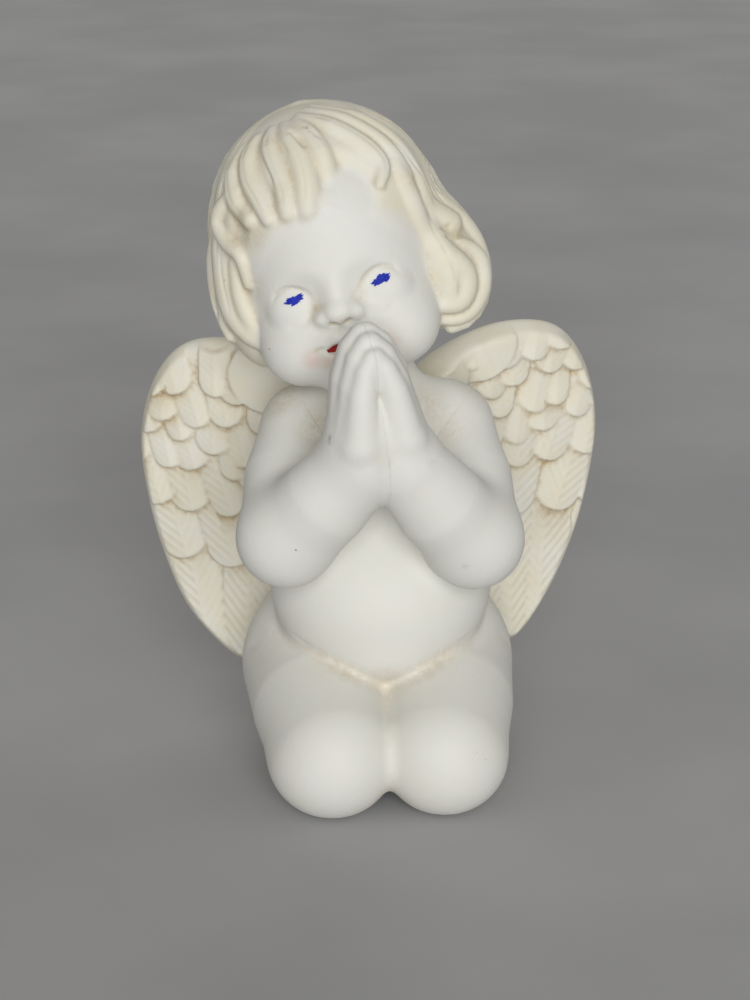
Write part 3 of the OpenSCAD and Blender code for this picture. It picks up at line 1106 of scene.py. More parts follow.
@dataclass
class Arm:
    """An arm casting: upper arm, forearm and hand, with its palm on the middle plane.

    Attributes:
        voxel: Size of the skin's squares.
        shoulder: Centre of the left shoulder.
        elbow: Centre of the left elbow.
        wrist: Centre of the left wrist.
        sway: How far both elbows sit to the figure's right.
        palm: Foot of the palms.
        palm_turn: How the pressed hands are turned.
        palm_lap: How far each palm reaches past their common plane, where they are pressed into one.
        tone: How it takes its colour.
    """
    voxel: float = 0.5
    shoulder: Point = (17.6, 2.5, 82.8)
    elbow: Point = (21.0, -23.8, 65.0)
    wrist: Point = (5.6, -32.6, 84.5)
    sway: float = 1.6
    palm: Point = (-1.4, -33.0, 76.0)
    palm_turn: Point = (0.0, -6.6, 11.0)
    palm_lap: float = 0.35
    tone: Tone = Tone(0.12, 0.5)

    def hand(self) -> Clay:
        """Models the left hand about the foot of its palm: four fingers side by side, and the thumb."""
        hand = Clay(blend=3.0)
        hand.press(Ball((3.0, -0.3, 17), (7.5, 8.6, 13)))
        digits = [
            (((5.4, 3.4, 20), (4.3, 3.5, 30), (2.6, 3.3, 35.6), (0.9, 3.0, 38.4)), (4.4, 3.7, 2.9, 2.2), 1.4),
            (((5.6, 0.2, 20), (4.6, 0.2, 30), (2.9, 0.1, 36.4), (0.9, 0, 39.4)), (4.6, 4.0, 3.1, 2.3), 1.0),
            (((5.2, -3.2, 19), (4.1, -3.4, 29), (2.6, -3.3, 35), (0.8, -3.2, 38.1)),
             (4.4, 3.7, 2.9, 2.1), 0.9),
            (((4.8, -5.6, 17), (3.6, -6.4, 27.5), (2.2, -6.3, 32.6), (0.7, -6.1, 35.6)),
             (4.4, 3.1, 2.5, 1.8), 0.9),
            (((4.2, 6.0, 12), (2.8, 7.8, 21), (1.6, 8.2, 28)), (3.4, 2.8, 2.1), 2)]
        hand.press(*(Limb(path, radii, blend) for path, radii, blend in digits))
        return hand

    def uncut(self, side: int) -> Clay:
        """Models one arm with its whole hand, the left one when side is 1 and the right one when it is -1."""
        def placed(point: Point, share: float = 1.0) -> Point:
            """Puts a point of the left arm on this side, swayed to the figure's right."""
            return (side * point[0] - share * self.sway, point[1], point[2] - 0.7 * share * side)

        shoulder, elbow, wrist = placed(self.shoulder, 0.4), placed(self.elbow), placed(self.wrist, 0.9)
        hand = self.hand() if side > 0 else self.hand().mirrored()
        arm = Clay()
        arm.press(Limb((shoulder, placed((20.8, -9.5, 74.0), 0.7), elbow), (8.9, 9.8, 10.4)))
        arm.press(Limb((elbow, placed((12.8, -29.4, 75.2)), wrist), (10.5, 10.3, 8.8), blend=4))
        arm.press(Turned(hand, self.palm, self.palm_turn, blend=6))
        return arm

    def clay(self, side: int) -> Clay:
        """Models one arm, cut flat where the palms meet."""
        arm = self.uncut(side)
        arm.press(Beside(self.uncut(-side), blend=1.8))
        plane = Wall((-side * self.palm_lap, 0, 0), (side, 0, 0))
        arm.dent(Turned(plane, self.palm, self.palm_turn, blend=0.2))
        return arm

    def strokes(self) -> list[Stroke]:
        """Gives the creases of the left arm."""
        return [
            Stroke(((26, -13, 79.5), (18, -17, 77), (10, -19, 80)), 1.0, 0.35, 0.4),
            Stroke(((11.6, -34.5, 86), (9.5, -38.5, 87.5), (6.5, -41, 88)), 0.7, 0.3, 0.4)]

    def build(self, side: int, body: Clay, material: bpy.types.Material) -> None:
        """Models, carves and dresses one arm.

        Args:
            side: 1 for the left arm and -1 for the right.
            body: The body, which the shoulder runs into.
            material: The cast resin.
        """
        clay = self.clay(side)
        name = side_name(side) + "_arm"
        surface = meeting(clay.distance, body.distance, SHOULDER_FILLET)
        skin = clay.cast(name + "_casting", self.voxel, surface)
        for stroke in self.strokes():
            (stroke if side > 0 else stroke.mirrored()).draw(skin)
        # Painted shade between the pressed hands, and on the chest where the arms meet it.
        between = (Spot((-2.6, -42, 90), 4.5, 0.16), Spot((-1.5, -36, 73.5), 5.0, 0.16))
        shade_and_wash_spots = spotted(skin, (*CHEST_SHADE, *between))
        smudge = spotted(skin, (Spot((-13.6, -38.1, 92.8), 1.7, 0.8), Spot((16.5, -35, 62), 1.6, 0.25)))
        wash_hollows(skin, self.tone, shade_and_wash_spots, smudge=smudge)
        finished(skin, name, material)


@dataclass(frozen=True)
class Lock:
    """A lock of hair along the head.

    Attributes:
        path: Points of its middle: degrees round from the front to the figure's left, and degrees up.
        width: Its half width in the middle.
        rise: How far it stands out of the hair under it.
        tip: Its half width at the tip, as a share.
        grooves: How many grooves the comb leaves along it.
    """
    path: tuple[tuple[float, float], ...]
    width: float
    rise: float = 1.6
    tip: float = 0.45
    grooves: int = 1


@dataclass
class Hair:
    """The hair: a mass, the locks laid on it and the comb's grooves.

    Attributes:
        centre: Where the locks' degrees are measured from, in the head's upright frame.
        blend: Reach of the fillet between locks.
        tooth: Half width of a comb's groove.
        bite: Depth of a comb's groove.
        over: How far over the mass the single cuts are made.
    """
    centre: Point = (0.5, 2.5, 33.0)
    blend: float = 0.9
    tooth: float = 0.42
    bite: float = 0.4
    over: float = 1.3

    def mass(self) -> Clay:
        """Models the hair's mass under the locks."""
        cap = Clay(blend=1.0)
        cap.press(Ball((-0.2, 2.5, 34.2), (25.4, 25.4, 26.2)))
        cap.press(Ball((-0.6, 8, 22), (25.6, 19.5, 22), blend=8))
        cap.press(Ball((22.8, 2.5, 16.5), (9.4, 12.5, 14), blend=6))
        cap.press(Ball((-20.2, 1.0, 18.5), (8.0, 12.5, 14.5), blend=6))
        cap.press(Ball((2, 12, 9), (15.5, 12.5, 9), blend=6))
        cap.dent(Ball((0.8, -22, 15.5), (19.6, 21, 22.5), blend=2.5))
        cap.dent(Ball((-19.2, -16.5, 39), (3.0, 3.4, 5.4), turn=(0, 14, 0), blend=2))
        cap.dent(Ball((9.5, -20.5, 44.5), (7.6, 4.6, 9.0), blend=2))
        return cap

    def fringe(self) -> list[Lock]:
        """Gives the locks on the forehead and over the top."""
        return [
            Lock(((-60, 52), (-57, 41), (-52, 31), (-46, 22), (-38, 15)), 3.1, 1.7, 0.7, 1),
            Lock(((-47, 58), (-45, 47), (-39, 35), (-31, 24), (-26, 14)), 2.5, 1.7, 0.8, 1),
            Lock(((-33, 62), (-27, 51), (-21, 39), (-16, 27), (-15, 15)), 2.6, 1.8, 0.9, 1),
            Lock(((-19, 64), (-11, 55), (-5, 43), (-3, 30), (-5, 15)), 2.9, 1.8, 1.0, 1),
            Lock(((-6, 66), (3, 57), (9, 45), (10, 32), (6, 19)), 2.5, 1.8, 0.8, 1),
            Lock(((0, 70), (18, 61), (32, 49), (41, 36), (43, 26), (36, 17)), 2.5, 1.7, 0.45, 1),
            Lock(((14, 75), (37, 61), (50, 45), (56, 31), (57, 17)), 2.1, 1.5, 0.4, 0),
            Lock(((30, 77), (52, 59), (63, 42), (66, 26), (64, 12)), 2.1, 1.5, 0.4, 0)]

    def sides(self) -> list[Lock]:
        """Gives the locks that frame the face."""
        return [
            Lock(((-46, 30), (-58, 25), (-66, 15), (-58, 5), (-49, -2), (-50, -16)), 2.0, 2.1, 0.7, 0),
            Lock(((-76, 22), (-74, 4), (-71, -12), (-68, -26), (-60, -40)), 4.0, 1.5, 0.7, 1),
            Lock(((-88, 14), (-88, -4), (-84, -20), (-76, -34)), 2.6, 1.7, 0.6, 1),
            Lock(((-60, -6), (-59, -20), (-58, -32), (-56, -42)), 2.2, 1.3, 0.7, 0),
            Lock(((55, 32), (53, 18), (54, 5), (58, -8), (64, -20)), 2.7, 2.0, 0.9, 0),
            Lock(((62, 30), (64, 16), (66, 4), (71, -5), (78, -13)), 4.2, 1.9, 0.8, 1),
            Lock(((60, -20), (66, -25), (71, -32), (69, -40), (62, -44)), 3.0, 2.0, 0.7, 0),
            Lock(((74, -19), (81, -25), (82, -34), (75, -43), (66, -50)), 2.2, 2.3, 0.7, 0),
            Lock(((80, 4), (86, -10), (91, -24), (87, -37), (75, -52)), 3.0, 1.9, 0.6, 1)]

    def strokes(self) -> list[Stroke]:
        """Gives single cuts of the tool between and across the locks."""
        cuts = [
            (((1, 59), (8, 52), (13, 45)), 0.6, 0.8),
            (((-11, 57), (-3, 50), (3, 42)), 0.6, 0.9),
            (((-24, 56), (-16, 49), (-10, 41)), 0.6, 0.8),
            (((-38, 52), (-31, 44), (-24, 35), (-19, 25)), 0.9, 0.9),
            (((60, -16), (70, -17), (80, -15)), 0.8, 0.8),
            (((60, -12), (68, -13), (76, -11)), 0.6, 0.5),
            (((60, -26), (64, -33), (64, -40)), 0.6, 0.6),
            (((-78, -12), (-80, -20), (-78, -28)), 0.8, 0.7)]
        mass = self.mass()
        strokes = []
        for path, width, depth in cuts:
            line = self.surface(mass, path)
            strokes.append(Stroke(as_path(line + self.outward(line) * self.over), width, depth, 0.3))
        return strokes

    def shade_and_wash_spots(self) -> list[Spot]:
        """Gives where the wash lies thickest, with painted shade in the hollows between the locks and the
        face, on the upright head.
        """
        return [
            Spot((-18.4, -15.8, 38), 7.0, 0.5), Spot((-7.2, -20.4, 44), 4.5, 0.45),
            Spot((-14, -18.6, 36), 4.5, 0.3), Spot((22, -13.5, 40), 5.0, 0.35), Spot((28, -5, 24), 5.5, 0.35),
            Spot((-18, -15.5, 24), 6.0, 0.22), Spot((3, -13, 54), 5.0, 0.25), Spot((-27, -3, 22), 5.0, 0.3)]

    def cover(self) -> list[Lock]:
        """Gives the locks combed from the whorl over the top, the sides and the back."""
        locks = []
        for k in range(10):
            turn = 66 + 25 * k
            sway = 7 * math.sin(2.4 * k)
            low = -34 - 5 * math.cos(1.7 * k)
            path = ((0.5 * turn + 90, 86), (turn - 6, 60), (turn + sway, 32), (turn - sway, 4),
                    (turn + 0.6 * sway, -22), (turn - 0.5 * sway, low))
            locks.append(Lock(path, 4.8, 0.9, 0.6, 5))
        for k in range(8):
            turn = 98 + 24 * k
            sway = 6 * math.cos(1.9 * k)
            path = ((turn, 40), (turn + sway, 18), (turn - sway, -8), (turn + sway, -26), (turn, -40))
            locks.append(Lock(path, 3.4, 1.6, 0.6, 3))
        return locks

    def locks(self) -> list[Lock]:
        """Gives all the locks."""
        return self.cover() + self.sides() + self.fringe()

    def surface(self, mass: Clay, path: Sequence[tuple[float, float]]) -> np.ndarray:
        """Finds where a lock's middle meets the mass.

        Args:
            mass: The hair's mass.
            path: Points, in degrees round and up.

        Returns:
            The points of a smooth curve on the mass, in the head's upright frame.
        """
        degrees = smooth_path(path, 4)
        turn, up = np.radians(degrees[:, 0]), np.radians(degrees[:, 1])
        ways = np.stack([np.sin(turn) * np.cos(up), -np.cos(turn) * np.cos(up), np.sin(up)], axis=1)
        reach = np.full(len(ways), 26.0)
        for _ in range(12):
            reach -= 0.8 * mass.distance(np.array(self.centre) + ways * reach[:, None])
        reach = np.clip(reach, 18, 40)
        return np.array(self.centre) + ways * reach[:, None]

    def outward(self, line: np.ndarray) -> np.ndarray:
        """Gives the direction out of the head at each point of a curve."""
        out = line - np.array(self.centre)
        return out / np.linalg.norm(out, axis=1)[:, None]

    def swell(self, lock: Lock, count: int) -> np.ndarray:
        """Gives a lock's width as shares of its full width, at this many points along it."""
        return np.interp(np.linspace(0, 1, count), [0, 0.25, 0.6, 1], [0.45, 0.9, 1.0, lock.tip])

    def lump(self, lock: Lock, mass: Clay) -> Limb:
        """Models one lock, sunk so that only its rise shows.

        Args:
            lock: The lock.
            mass: The hair's mass.

        Returns:
            Its roll of clay.
        """
        line = self.surface(mass, lock.path)
        radii = lock.width * self.swell(lock, len(line))
        rise = lock.rise * np.interp(np.linspace(0, 1, len(line)), [0, 0.3, 1], [0.3, 1, 0.9])
        middle = line + self.outward(line) * (rise - radii)[:, None]
        return Limb(as_path(middle), tuple(radii), blend=self.blend)

    def clay(self) -> Clay:
        """Models the hair."""
        mass = self.mass()
        hair = Clay(blend=1.2)
        hair.press(mass)
        for lock in self.locks():
            hair.press(self.lump(lock, mass))
        return hair

    def comb(self, skin: Skin) -> None:
        """Draws the comb's grooves along the locks."""
        mass = self.mass()
        for lock in self.locks():
            line = self.surface(mass, lock.path)
            out = self.outward(line)
            line = line + out * lock.rise * 0.8
            across = np.cross(out, np.gradient(line, axis=0))
            across /= np.linalg.norm(across, axis=1)[:, None]
            fan = self.swell(lock, len(line))
            for k in range(lock.grooves):
                share = (k + 1) / (lock.grooves + 1) * 2 - 1
                shifted = line + across * (share * lock.width * 0.9 * fan)[:, None]
                Stroke(as_path(shifted), self.tooth, self.bite, 0.22).draw(skin)
        for stroke in self.strokes():
            stroke.draw(skin)


BEFORE_FACE = -34.0  # A y that lies before every part of the upright head.


def slid_back(x: np.ndarray, z: np.ndarray, clay: Clay) -> np.ndarray:
    """Slides points straight back from before the upright head until they lie on it.

    Args:
        x: Each point's place to the left.
        z: Each point's height.
        clay: What stops them.

    Returns:
        The points, one row each.
    """
    points = np.stack([x, np.full(len(x), BEFORE_FACE), z], axis=1)
    for _ in range(26):
        points[:, 1] += clay.distance(points) * 0.8
    return points


@dataclass
class Head:
    """The head casting with the hair, modelled upright on the neck's top and then leant and turned.

    Attributes:
        voxel: Size of the skin's squares.
        hair: The hair on it.
        neck_top: Where the upright head stands.
        lean: Its lift, its lean to the figure's right and its turn, in degrees.
        eye: Middle of the left eye, upright.
        tone: How it takes its colour.
    """
    voxel: float = 0.45
    hair: Hair = field(default_factory=Hair)
    neck_top: Point = (-4.0, 3.0, 98.0)
    lean: Point = (-6.0, -14.0, -4.5)
    eye: Point = (9.9, -20.0, 19.0)
    tone: Tone = Tone(0.8, 0.8)

    def upright(self, points: np.ndarray) -> np.ndarray:
        """Takes points of the figure's frame into the head's upright one."""
        return (points - np.array(self.neck_top)) @ turn_matrix(self.lean)

    def leant(self, points: np.ndarray) -> np.ndarray:
        """Takes points of the head's upright frame into the figure's."""
        return points @ turn_matrix(self.lean).T + np.array(self.neck_top)

    def face(self) -> Clay:
        """Models the bare skull and the face."""
        face = Clay()
        x, y, z = self.eye
        face.press(Ball((0, -1, 30), (22.5, 22.8, 24)))
        face.press(Ball((0, -4, 15), (19.5, 18.3, 16.5), blend=8))
        face.press_both(Ball((10.9, -11, 8.5), (9.2, 9.3, 8.6), blend=6))
        face.press(Ball((-0.4, -16.0, -0.2), (6.6, 6.2, 5), blend=6))
        face.press(Ball((0, -16.6, 7.6), (8.2, 5.4, 5.4), blend=4))
        face.dent_both(Ball((x - 1.2, y - 4.9, z + 0.6), (6.6, 4.2, 4.6), blend=4))
        face.press_both(Ball((x, y + 4.0, z - 0.6), (6.2, 5.0, 4.9), turn=(0, 6, 0), blend=1.5))
        face.press(Limb(((0, -20.4, 21), (-0.3, -21.6, 17)), (1.7, 1.9), blend=4))
        face.press(Ball((-0.4, -23.1, 16.0), (3.0, 2.6, 2.4), blend=1.8))
        for wing in ((3.3, -21.8, 15.2), (-4.1, -21.7, 15.2)):
            face.press(Ball(wing, (2.1, 2.1, 1.8), blend=1.3))
        for nostril in (1.2, -2.0):
            face.dent(Ball((nostril, -23.5, 13.8), (0.9, 0.8, 0.6), blend=0.9))
        upper = ((-6.4, -19, 8.8), (-2.6, -21.6, 10.2), (0, -21.9, 9.8), (2.6, -21.6, 10.2), (6.4, -19, 8.8))
        lower = ((-5.8, -19, 7.8), (-2.6, -20.9, 5.9), (0, -21.2, 5.3), (2.6, -20.9, 5.9), (5.8, -19, 7.8))
        face.press(Limb(upper, (0.7, 1.2, 1.1, 1.2, 0.7), blend=1.2))
        face.press(Limb(lower, (0.7, 1.3, 1.4, 1.3, 0.7), blend=1.2))
        face.dent(Ball((0, -22.6, 7.9), (5.2, 2.6, 1.4), blend=0.8))
        return face

    def on_face(self, path: Sequence[tuple[float, float]]) -> tuple[Point, ...]:
        """Finds the points of the face that lie behind these, seen from the front.

        Args:
            path: Points, each its distance to the left and its height on the upright head.

        Returns:
            The points of the face.
        """
        x, z = np.array(path).T
        return as_path(slid_back(x, z, self.face()))

    def features(self) -> list[Stroke]:
        """Gives the tool's strokes on the left half of the face and in its middle."""
        x, z = self.eye[0], self.eye[2]
        lid = (
            (x - 5.0, z + 0.2), (x - 3.0, z + 3.0), (x + 0.4, z + 4.3), (x + 3.6, z + 3.3),
            (x + 5.2, z + 0.8))
        under = ((x - 4.4, z - 2.2), (x - 1, z - 4.4), (x + 3.4, z - 4.2))
        wing = ((3.4, 18), (5.1, 16.4), (5.3, 14.2), (4.2, 13.2))
        corner = ((4.2, 8.2), (6.4, 8.7), (8.0, 8.2), (8.5, 7.0))
        return [
            Stroke(self.on_face(lid), 0.7, 0.6, 0.35), Stroke(self.on_face(under), 0.9, 0.2, 0.4),
            Stroke(self.on_face(wing), 0.7, 0.15, 0.4), Stroke(self.on_face(corner), 0.55, 0.6, 0.35)]

    def clay(self) -> Clay:
        """Models the upright head."""
        head = Clay()
        head.press(self.face(), self.hair.clay())
        return head

    def blushes(self) -> list[Spot]:
        """Gives the blushes, on the upright head."""
        corner, lip = self.on_face(((8.8, 6.6), (4.6, 5.8)))
        spots = [Spot(corner, 3.6, 0.40), Spot(lip, 2.6, 0.30)]
        return spots + [replace(spot, centre=(-spot.centre[0], *spot.centre[1:])) for spot in spots]

    def build(self, material: bpy.types.Material) -> None:
        """Models, carves and dresses the casting.

        Args:
            material: The cast resin.
        """
        clay = self.clay()
        skin = clay.cast("head_casting", self.voxel)
        self.hair.comb(skin)
        for stroke in self.features():
            stroke.draw(skin)
            stroke.mirrored().draw(skin)
        blush = spotted(skin, self.blushes())
        tears = self.on_face(((-5.0, 17.6), (4.6, 18.6), (-6.0, 5.4), (6.0, 5.4)))
        shade_and_wash_spots = spotted(skin, self.hair.shade_and_wash_spots() + [Spot(tear, 3.2, 0.3) for tear in tears])
        skin.points = self.leant(skin.points)
        hairy = ramp(self.face().distance(self.upright(skin.points)), 0.15, 0.8)
        wash_hollows(skin, self.tone, shade_and_wash_spots, hairy)
        skin.paint("blush", blush)
        finished(skin, "head", material)


@dataclass(frozen=True)
class Feather:
    """One feather of a wing, in the wing's plane: across from its root and up from its tip.

    Attributes:
        tip: Where its tip is.
        turn: Which way it points, in degrees from straight down towards the wing's outer edge.
        half: Its half width.
        length: Its length.
        rise: How far its tip stands out.
        layer: How far its whole row stands out.
        barb: Depth of its barbs.
        pitch: Spacing of its barbs.
        shade_and_wash: How strongly the shadow of its tip is painted on the feather below, tinted like the
            wash and uneven from feather to feather.
    """
    tip: tuple[float, float]
    turn: float
    half: float
    length: float
    rise: float
    layer: float
    barb: float
    pitch: float
    shade_and_wash: float

    def height(self, places: np.ndarray) -> tuple[np.ndarray, np.ndarray]:
        """Measures the feather over the wing's plane.

        Args:
            places: Points in the wing's plane.

        Returns:
            The feather's height at each point, less than -1 beside it, and the painted shadow under its tip.
        """
        angle = math.radians(self.turn)
        down = np.array((math.sin(angle), -math.cos(angle)))
        aside = np.array((math.cos(angle), math.sin(angle)))
        off = places - np.array(self.tip)
        back, shift = -off @ down, off @ aside / self.half
        across = np.abs(shift)
        narrow = np.clip(across, 0, 1)
        edge = self.half * 0.85 * (1 - np.sqrt(1 - narrow ** 2))
        share = (back - edge) / self.length
        inside = (across < 1) & (share > 0) & (share < 1)
        quill = 0.10 * np.exp(-(across * self.half / 0.5) ** 2)
        comb = self.barb * np.sin(2 * math.pi * (back - 1.2 * across * self.half) / self.pitch)
        lift = self.rise * (1 - np.clip(share, 0, 1)) ** 0.8 * ramp(share * self.length, -0.35, 0.35)
        crown = (1.5 - 0.7 * ramp(np.clip(share, 0, 1), 0, 0.6)) * (1 - narrow ** 1.8)
        tilt = 0.35 * np.clip(shift, -1, 1)
        height = self.layer + lift + crown + tilt + quill + comb * ramp(np.clip(share, 0, 1), 0.0, 0.12)
        # Painted shadow of the tip, tinted like the wash, on the feather below: strongest right under the
        # tip.
        below = np.clip(edge - back, 0, 30) / (1.2 + 0.3 * self.half)
        under = self.shade_and_wash * np.exp(-below) * (across < 0.9) * (share <= 0)
        return np.where(inside, height, -5.0), under


@dataclass
class Wing:
    """A wing casting: a plate with rows of feathers on both faces.

    Attributes:
        side: 1 for the left wing and -1 for the right.
        lift: How much higher it sits than its top says.
        drop: How much lower its rows reach, as a share of its height.
        voxel: Size of the skin's squares.
        root: Where it leaves the back.
        sweep: How far it sweeps back, in degrees.
        reach: From the root to the outermost feather.
        tall: Its height.
        top: Height of its top above the ground.
        foot: Where its tip lies, as a share of its reach.
        tone: How it takes its colour.
    """
    side: int
    lift: float = 0.0
    drop: float = 0.0
    voxel: float = 0.42
    root: Point = (9.0, 21.9, 77.0)
    sweep: float = 19.0
    reach: float = 49.2
    tall: float = 82.0
    top: float = 97.5
    foot: float = 0.52
    tone: Tone = Tone(0.75, 1.15)

    def outline(self) -> np.ndarray:
        """Gives the wing's outline in its own plane: across from the root and up from its tip."""
        shares = [
            (-0.10, 0.78), (0.02, 0.90), (0.24, 0.975), (0.50, 1.01), (0.76, 0.985), (0.92, 0.88),
            (1.0, 0.72), (0.99, 0.55), (0.91, 0.34), (0.76, 0.14), (self.foot + 0.04, 0.005), (0.38, 0.09),
            (0.22, 0.27), (0.04, 0.50), (-0.10, 0.78)]
        return smooth_path([(u * self.reach, v * self.tall) for u, v in shares], 8)[:-1]

    def rows(self) -> list[Feather]:
        """Gives the feathers, the longest and lowest first."""
        # Each row's level, slope, half width, length, rise, layer, barb and pitch.
        plan = [
            (0.00, 0.00, 6.8, 52, 1.2, 0.00, 0.12, 3.0), (0.41, 0.06, 6.0, 28, 1.3, 0.10, 0.10, 3.0),
            (0.56, 0.09, 5.2, 22, 1.3, 0.20, 0.07, 2.8), (0.665, 0.11, 4.4, 13, 1.3, 0.25, 0.03, 2.2),
            (0.745, 0.12, 4.1, 11, 1.3, 0.30, 0.03, 2.2), (0.825, 0.10, 4.2, 11, 1.3, 0.35, 0.03, 2.2),
            (0.905, 0.04, 4.6, 11, 1.3, 0.40, 0.03, 2.2)]
        feathers = []
        focus = np.array((self.foot * self.reach, -30.0))
        for row, (level, slope, half, length, rise, layer, barb, pitch) in enumerate(plan):
            count = int(self.reach * 1.15 / (1.75 * half))
            for k in range(count + 1):
                u = (k + 0.5 * (row % 2)) / count * 1.12 - 0.04
                wave = 0.016 * math.sin(5.1 * k + 2.3 * row + self.side)
                u += 0.018 * math.sin(3.3 * k + 1.1 * row + 2 * self.side)
                if row:
                    v = level - self.drop + slope * (u - 0.6) + wave
                    tip = np.array((u * self.reach, v * self.tall))
                    way = focus - tip
                else:
                    v = 0.12 * abs(u - 0.5) - 0.04
                    tip = np.array(((self.foot + (u - 0.5) * 0.55) * self.reach, v * self.tall))
                    way = tip - np.array((u * self.reach, 0.55 * self.tall))
                turn = math.degrees(math.atan2(way[0], -way[1])) * (0.8 if row < 3 else 0.45)
                turn += (3 if row < 2 else 9) * math.sin(4.1 * k + 2.9 * row + self.side) - (10 if row else 0)
                # How strongly the tip's shadow is painted, uneven from feather to feather.
                shade_and_wash = 0.22 + 0.7 * max(0.0, math.sin(3.7 * k + 1.9 * row + 0.8 * self.side)) ** 3
                wide = half * (1 + 0.13 * math.sin(2.7 * k + row))
                feathers.append(Feather(tuple(tip), turn, wide, length, rise, layer, barb, pitch, shade_and_wash))
        for u, v, turn, half, length in ((0.40, 0.86, 24, 9.5, 30), (0.20, 0.80, 42, 8.5, 24)):
            tip = (u * self.reach, (v - 0.6 * self.drop) * self.tall)
            feathers.append(Feather(tip, turn, half, length, 0.9, 0.95, 0.0, 2.0, 0.3))
        return feathers

    def relief(self, places: np.ndarray) -> tuple[np.ndarray, np.ndarray]:
        """Lays all the feathers over the plate.

        Args:
            places: Points in the wing's plane.

        Returns:
            The relief's height and the painted shadow under the feathers' tips, laid in as wash.
        """
        height = np.zeros(len(places))
        wash = np.zeros(len(places))
        for feather in self.rows():
            own, under = feather.height(places)
            over = own > height
            height = np.where(over, own, height)
            wash = np.where(over, 0, np.maximum(wash, under))
        return height, wash

    def rim(self, places: np.ndarray) -> np.ndarray:
        """Gives how far each point lies inside the outline."""
        line = self.outline()
        closed = np.vstack([line, line[:1]])
        best = np.full(len(places), np.inf)
        inside = np.zeros(len(places), bool)
        for a, b in zip(closed, closed[1:]):
            along = b - a
            t = np.clip(((places - a) @ along) / (along @ along), 0, 1)
            best = np.minimum(best, np.linalg.norm(places - (a + t[:, None] * along), axis=1))
            crosses = ((a[1] > places[:, 1]) != (b[1] > places[:, 1]))
            x = a[0] + (places[:, 1] - a[1]) / (along[1] if along[1] else 1e-9) * along[0]
            inside ^= crosses & (places[:, 0] < x)
        return np.where(inside, best, -best)

    def plate(self) -> Skin:
        """Makes an even plate with the outline, standing up, with half its 6 mm to each side of its plane."""
        line = self.outline()
        bpy.ops.object.select_all(action="DESELECT")
        bpy.ops.mesh.primitive_circle_add(vertices=len(line), fill_type="NGON")
        piece = bpy.context.object
        piece.name = piece.data.name = side_name(self.side) + "_wing_casting"
        corners = np.stack([line[:, 0], np.zeros(len(line)), line[:, 1]], axis=1) * MM
        piece.data.vertices.foreach_set("co", corners.ravel())
        thicken(piece, 6)
        return Skin(piece).remeshed(self.voxel)

    def build(self, material: bpy.types.Material) -> None:
        """Models, carves and dresses the wing.

        Args:
            material: The cast resin.
        """
        skin = self.plate()
        places = skin.points[:, [0, 2]]
        face = np.clip(skin.points[:, 1] / 2.7, -1, 1)
        height, wash = self.relief(places)
        inner = self.rim(places)
        high = np.clip(places[:, 1] / self.tall, 0, 1)
        body = 0.8 + 1.2 * ramp(high, 0.1, 0.95) + 0.8 * ramp(high, 0.80, 0.97)
        soft = 1.2 + 2.4 * ramp(high, 0.6, 1.0)
        edge = np.sqrt(np.clip(1 - (1 - np.clip(inner / soft, 0, 1)) ** 2, 0, 1))
        swell = 4.5 * ramp(15 - places[:, 0], 0, 12) * ramp(high, 0.55, 0.7) * (face < 0)
        skin.points[:, 1] = face * edge * (body + height * 0.85 * ramp(inner, 0.0, 2.4) + swell)
        angle = math.radians(self.sweep)
        across, out, up = skin.points.T
        x = self.root[0] + across * math.cos(angle) - out * math.sin(angle)
        y = self.root[1] + across * math.sin(angle) + out * math.cos(angle)
        skin.points = np.stack([self.side * x, y, up + self.top - self.tall + self.lift], axis=1)
        if self.side < 0:
            skin.flip()
        # The painted shadow under the feathers' tips goes in with the wash.
        wash_hollows(skin, self.tone, wash * ramp(inner, 0.3, 2.0))
        finished(skin, side_name(self.side) + "_wing", material)


@dataclass
class Dab:
    """A dab of paint that lies on the face.

    Attributes:
        name: The piece's name.
        node: The CAD node that it stands for.
        centre: Its middle, on the upright head, seen from the front.
        radii: Its half width and half height.
        turn: How far it is turned, in degrees.
        ragged: How far its edge wanders, as a share.
        seed: Which wandering.
        thick: Thickness of the coat.
        proud: How far the middle of the coat stands off the face.
    """
    name: str
    node: str
    centre: tuple[float, float]
    radii: tuple[float, float]
    turn: float
    ragged: float
    seed: float
    thick: float = 0.16
    proud: float = 0.10

    def build(self, head: Head, material: bpy.types.Material, slot: Slot) -> None:
        """Lays the dab on the head.

        Args:
            head: The head.
            material: The paint.
            slot: Not used.
        """
        bpy.ops.object.select_all(action="DESELECT")
        bpy.ops.mesh.primitive_grid_add(x_subdivisions=44, y_subdivisions=44, size=2)
        piece = bpy.context.object
        piece.name = piece.data.name = self.name
        grid = np.empty(len(piece.data.vertices) * 3)
        piece.data.vertices.foreach_get("co", grid)
        a, b = grid.reshape(-1, 3)[:, :2].T
        disc = np.stack([a * np.sqrt(1 - b * b / 2), b * np.sqrt(1 - a * a / 2)], axis=1)
        around = np.arctan2(disc[:, 1], disc[:, 0])
        waves = (3, 5, 9, 14, 21, 27)
        wander = sum(np.sin(n * around + self.seed * n) / (1 + 0.08 * n) for n in waves)
        disc *= (1 + self.ragged * wander)[:, None] * np.array(self.radii)
        angle = math.radians(self.turn)
        x = self.centre[0] + disc[:, 0] * math.cos(angle) - disc[:, 1] * math.sin(angle)
        z = self.centre[1] + disc[:, 0] * math.sin(angle) + disc[:, 1] * math.cos(angle)
        points = slid_back(x, z, head.clay())
        points[:, 1] -= self.proud
        skin = Skin(piece)
        skin.points = head.leant(points)
        skin.write()
        thicken(piece, self.thick)
        finished(Skin(piece), self.node, material)


# --------------------------------------------------------------- stage ----

